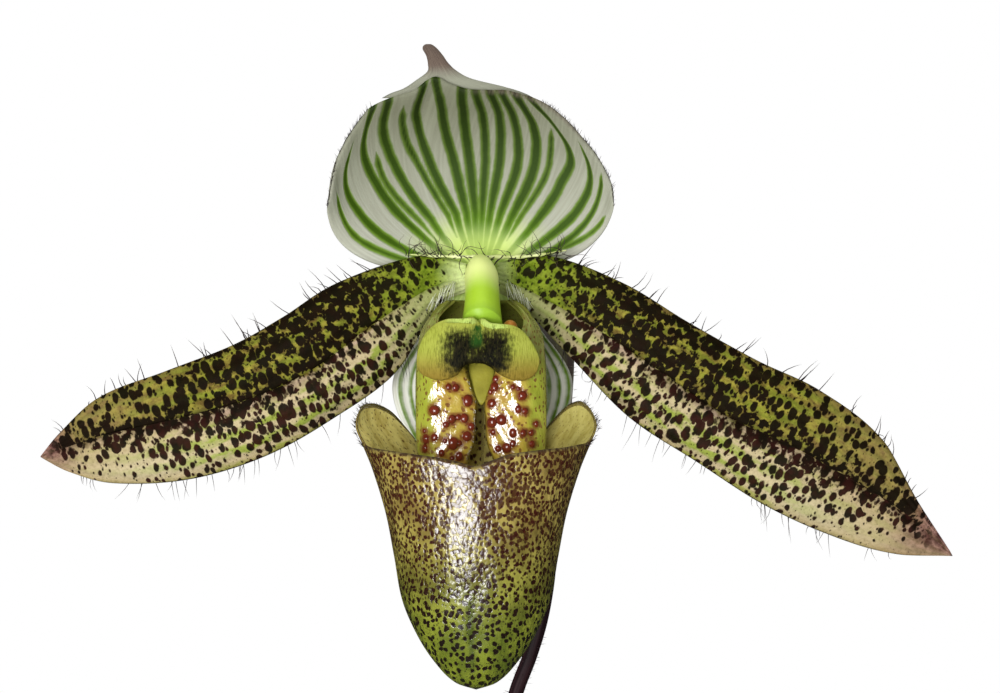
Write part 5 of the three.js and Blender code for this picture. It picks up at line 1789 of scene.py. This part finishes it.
# A margin's side, how many hairs, their radius, where along it they start, and its name
PETAL_MARGINS = ((-1, 44, 0.075, 0.05, "upper"), (1, 40, 0.05, 0.16, "lower"))
PETAL_HAIR_LENGTHS = (1.8, 3.8)
FRINGE_HAIRS, FRINGE_LENGTHS, FRINGE_RADIUS = 28, (2.0, 3.6), 0.04
SEPAL_MARGIN_HAIRS, SEPAL_MARGIN_LENGTHS, SEPAL_MARGIN_RADIUS = 260, (0.25, 0.85), 0.035
SEPAL_DOWN_HAIRS, SEPAL_DOWN_LENGTHS, SEPAL_DOWN_RADIUS = 900, (0.4, 0.8), 0.03
# Stretches of the hem, each from left to right and how many hairs grow there
HEM_STRETCHES = ((-9.2, -1.5, 26), (-1.5, 2, 10), (2, 10.5, 28))
HEM_LENGTHS, HEM_HAIR_RADIUS = (1.8, 3.6), 0.07
VELVET_TRIES, VELVET_LENGTHS, VELVET_RADIUS = 700, (0.3, 0.6), 0.045
# How many, from where to where along the bar, their lengths and their radius
STALK_DOWN, OVARY_DOWN = (1500, 0.08, 0.9, (0.3, 0.8), 0.03), (600, 0.05, 0.9, (0.4, 0.9), 0.035)
# Stretches of the mouth's edge that carry the ears' hairs, in degrees from the front
EAR_STRETCHES, EAR_HAIRS, EAR_LENGTHS, EAR_HAIR_RADIUS = ((70, 140), (220, 290)), 110, (0.4, 0.95), 0.04


def make_petal_hairs(random, dark, white):
    for name, petal in PETALS.items():
        for side, count, radius, first, edge in PETAL_MARGINS:
            t = np.sort(random.uniform(first, 0.95, count))
            long = random.uniform(*PETAL_HAIR_LENGTHS, count) * lerp(1, 0.55, smooth(t, 0.7, 1))
            bend = random.normal(size=(count, 3)) * [0.5, 0.6, 0.5]
            lean = random.uniform(-0.1, 0.5, count)
            title = f"{name}_{edge}_hairs"
            piece = margin_hairs(title, petal.surface, side, t, long, lean, radius, bend, random)
            belong(piece, dark, "petal", name)
        count = FRINGE_HAIRS
        hand = -1 if name == "petal_left" else 1
        out = random.uniform(0, 1, count)
        height = lerp(-0.2, -1.7, out) + random.uniform(-0.3, 0.3, count)
        root = seen(0.1 + hand * lerp(3.0, 5.6, out), height, 0 * out - 0.7)
        way = random.normal(size=(count, 3)) * [0.12, 0.1, 0.1] + [0.3 * hand, -0.7, -1]
        curls = joined(random.uniform(0.08, 0.25, count), random.uniform(0, 6, count))
        long = random.uniform(*FRINGE_LENGTHS, count)
        fringe = hairs(name + "_fringe", root, way, long, FRINGE_RADIUS, way * 0, curls, parts=5)
        belong(fringe, white, "petal", name)


def make_sepal_hairs(random, dark, pale):
    half = SEPAL_MARGIN_HAIRS // 2
    t = np.concatenate([random.uniform(-1, -0.45, half), random.uniform(0.35, 1, half)])
    inner = sepal_surface(t, np.full(2 * half, 0.95))
    edge = sepal_surface(t, np.full(2 * half, 1.0))
    out = unit(edge - inner) + random.normal(size=(2 * half, 3)) * 0.3
    long = random.uniform(*SEPAL_MARGIN_LENGTHS, 2 * half)
    fringe = hairs("sepal_margin_hairs", edge, out, long, SEPAL_MARGIN_RADIUS, out * 0, parts=2)
    belong(fringe, dark, "white_sepal", "dorsal_sepal")

    count = SEPAL_DOWN_HAIRS
    s, t = random.uniform(-0.98, 0.98, count), random.uniform(0.1, 0.98, count)
    long = random.uniform(*SEPAL_DOWN_LENGTHS, count)
    fuzz = down("sepal_back_down", sepal_surface, s, t, -1, long, 0.5, SEPAL_DOWN_RADIUS, random)
    belong(fuzz, pale, "white_sepal", "dorsal_sepal")


def make_hem_hairs(random, dark):
    """Unruly hairs over the column, most of them upright and those in the middle hanging"""
    x = np.concatenate([random.uniform(left, right, count) for left, right, count in HEM_STRETCHES])
    count = len(x)
    hem_x, hem_z, hem_depth = np.array(SEAM_WAY).T
    z = profile(list(zip(hem_x, hem_z)))(x) + random.uniform(-0.3, 0.2, count)
    depth = profile(list(zip(hem_x, hem_depth)))(x) - 0.2
    upward = np.where(random.uniform(size=count) < np.where(np.abs(x) < 2.5, 0.8, 0.25), -1, 1)
    way = random.normal(size=(count, 3)) * [0.7, 0.3, 0.3]
    way = way + joined(0 * x, -0.35 + 0 * x, 0.7 * upward)
    curls = joined(random.uniform(0.5, 1.1, count), random.uniform(0, 6, count))
    long = random.uniform(*HEM_LENGTHS, count)
    seam = hairs("hem_hairs", seen(x, z, depth), way, long, HEM_HAIR_RADIUS, way * 0, curls, parts=8)
    belong(seam, dark, "white_sepal", "dorsal_sepal")


def make_velvet(random):
    velvet = hair_finish("velvet hair", colour(8, 10, 5), colour(34, 40, 20))
    s, t = random.uniform(-0.9, 0.9, VELVET_TRIES), random.uniform(0.05, 0.95, VELVET_TRIES)
    keep = shield_notes(s, t)["velvet"] > random.uniform(0.25, 0.9, VELVET_TRIES)
    s, t = s[keep], t[keep]
    long = random.uniform(*VELVET_LENGTHS, len(s))
    nap = down("velvet", shield_surface, s, t, 1, long, 0.0, VELVET_RADIUS, random, 0.5)
    belong(nap, velvet, "staminode", "staminode")


def make_ear_hairs(random, dark):
    angle = np.concatenate([random.uniform(*stretch, EAR_HAIRS) for stretch in EAR_STRETCHES])
    z = MOUTH_EDGE((angle + 180) % 360 - 180)
    radians = np.radians(angle)
    x = POUCH_SHIFT + POUCH_HALF(z) * np.sin(radians)
    depth = POUCH_MIDDLE(z) - POUCH_DEPTH(z) * np.cos(radians)
    out = joined(np.sin(radians), -0.8 * np.cos(radians), 0.7 + 0 * x)
    way = out + random.normal(size=(len(x), 3)) * 0.35
    root = flower_point(x, depth, z - 0.3)
    long = random.uniform(*EAR_LENGTHS, len(x))
    belong(hairs("ear_hairs", root, way, long, EAR_HAIR_RADIUS, way * 0, parts=2), dark, "lip", "lip")


def make_flower_hairs():
    random = np.random.default_rng(7)
    dark = hair_finish("dark hair", colour(30, 14, 18), colour(74, 54, 50))
    pale = hair_finish("pale hair", colour(120, 104, 84), colour(214, 208, 192))
    white = hair_finish("white hair", colour(232, 236, 206), colour(250, 250, 240))
    make_petal_hairs(random, dark, white)
    make_sepal_hairs(random, dark, pale)
    make_hem_hairs(random, dark)
    make_velvet(random)
    make_ear_hairs(random, dark)
    fuzz = bar_down("stalk_down", STALK_WAY, stalk_radius, *STALK_DOWN, random)
    belong(fuzz, dark, "stalk", "flower_stalk")
    fuzz = bar_down("ovary_down", OVARY_WAY, ovary_radius, *OVARY_DOWN, random)
    belong(fuzz, pale, "ovary", "ovary")


# The plant under the flower

def root_radius(t, angle):
    return ROOT_RADIUS * lerp(1, 0.7, t) * (1 + 0.06 * np.sin(4 * angle + 20 * t))


def rhizome_radius(t, angle):
    return RHIZOME_RADIUS + 0.2 * np.sin(12 * t) + 0 * angle


def make_plant():
    grown = leaf_finish("tessellated leaf", colour(44, 76, 40), colour(106, 142, 82))
    young = leaf_finish("young leaf", colour(66, 104, 48), colour(138, 172, 96))
    for name, leaf in LEAVES.items():
        new = name.startswith("shoot")
        piece = make_leaf(name + "_skin", *leaf)
        belong(piece, young if new else grown, "young_leaf" if new else "leaf", name)
    belong(make_pot(), clay_finish(), "clay", "pot")
    bark = bark_finish()
    belong(make_bark_bed(), bark, "bark", "bark_mix")
    belong(make_chips(), bark, "bark", "bark_mix")
    stem = soft_finish("crown", colour(150, 146, 92), colour(110, 78, 50), 240, 0.7, 0.3)
    root = soft_finish("root", colour(150, 118, 82), colour(96, 66, 42), 320, 0.8, 0.4)
    for number, crown in enumerate(CROWNS, 1):
        belong(make_crown(f"crown_{number}", *crown), stem, "root", "rootstock")
    for number, way in enumerate(ROOTS, 1):
        belong(bar(f"root_{number}", root_way(*way), root_radius, 16, 60), root, "root", "rootstock")
    belong(bar("rhizome", RHIZOME_WAY, rhizome_radius, 24, 30), root, "root", "rootstock")


# Stage, lights and camera

# Light of the white room on the plant, and how much of it shows as a mirror image
AMBIENT, MIRRORED = 0.17, 0.02
FLOOR_RADIUS = 1.2

# Softboxes: place, what they face, width and height, all in metres, and power in watts
SOFTBOXES = {
    "key": ((-0.24, -0.82, 0.25), (0.01, -0.04, 0.27), 0.42, 0.46, 7.6),
    "fill": ((0.65, -0.6, 0.4), (0.01, -0.04, 0.285), 0.6, 0.6, 0.9),
    "top": ((0.0, 0.0, 0.95), (0.01, 0.0, 0.2), 0.6, 0.6, 2.8),
}

# The camera looks level and straight at the flower, with a long lens
CAMERA_PLACE = (0.01042, -0.3069, 0.29195)
LENS_LENGTH, SENSOR_WIDTH = 80, 36


def make_floor():
    bpy.ops.object.select_all(action="DESELECT")
    bpy.ops.mesh.primitive_circle_add(vertices=96, radius=FLOOR_RADIUS, fill_type="NGON")
    floor = bpy.context.object
    floor.name = "floor"
    made, nodes = finish("pale floor", 0.8)
    cloud = nodes.noise(nodes.place(), 8, 3)
    pale = nodes.mix(cloud, colour(206, 206, 204), colour(218, 218, 216))
    mirrored = nodes.add("LightPath").outputs["Is Glossy Ray"]
    nodes.show("Base Color", nodes.mix(mirrored, pale, colour(70, 70, 70)))
    floor.data.materials.append(made)


def make_room():
    """A white room: seen as plain white, and lighting the plant faintly from all round"""
    world = bpy.data.worlds.new("studio")
    bpy.context.scene.world = world
    world.use_nodes = True
    nodes = Nodes(world.node_tree, world.node_tree.nodes["Background"])
    nodes.show("Color", (1, 1, 1, 1))
    rays = nodes.add("LightPath").outputs
    room = nodes.line(rays["Is Glossy Ray"], MIRRORED - AMBIENT, AMBIENT)
    nodes.show("Strength", nodes.most(rays["Is Camera Ray"], room))


def make_lights():
    for name, (place, target, width, height, power) in SOFTBOXES.items():
        lamp = bpy.data.lights.new(name, "AREA")
        lamp.shape, lamp.size, lamp.size_y, lamp.energy = "RECTANGLE", width, height, power
        box = bpy.data.objects.new(name, lamp)
        box.visible_glossy = name == "key"
        box.location = place
        box.rotation_euler = (Vector(target) - Vector(place)).to_track_quat("-Z", "Y").to_euler()
        bpy.context.scene.collection.objects.link(box)


def make_camera():
    lens = bpy.data.cameras.new("camera")
    lens.lens, lens.sensor_width = LENS_LENGTH, SENSOR_WIDTH
    camera = bpy.data.objects.new("camera", lens)
    camera.location = CAMERA_PLACE
    camera.rotation_euler = (math.radians(90), 0, 0)
    bpy.context.scene.collection.objects.link(camera)
    bpy.context.scene.camera = camera


make_sepals()
make_petals()
make_lip()
make_column()
make_stalk()
make_flower_hairs()
make_plant()
make_floor()
make_room()
make_lights()
make_camera()
bpy.context.scene.view_settings.view_transform = "Standard"
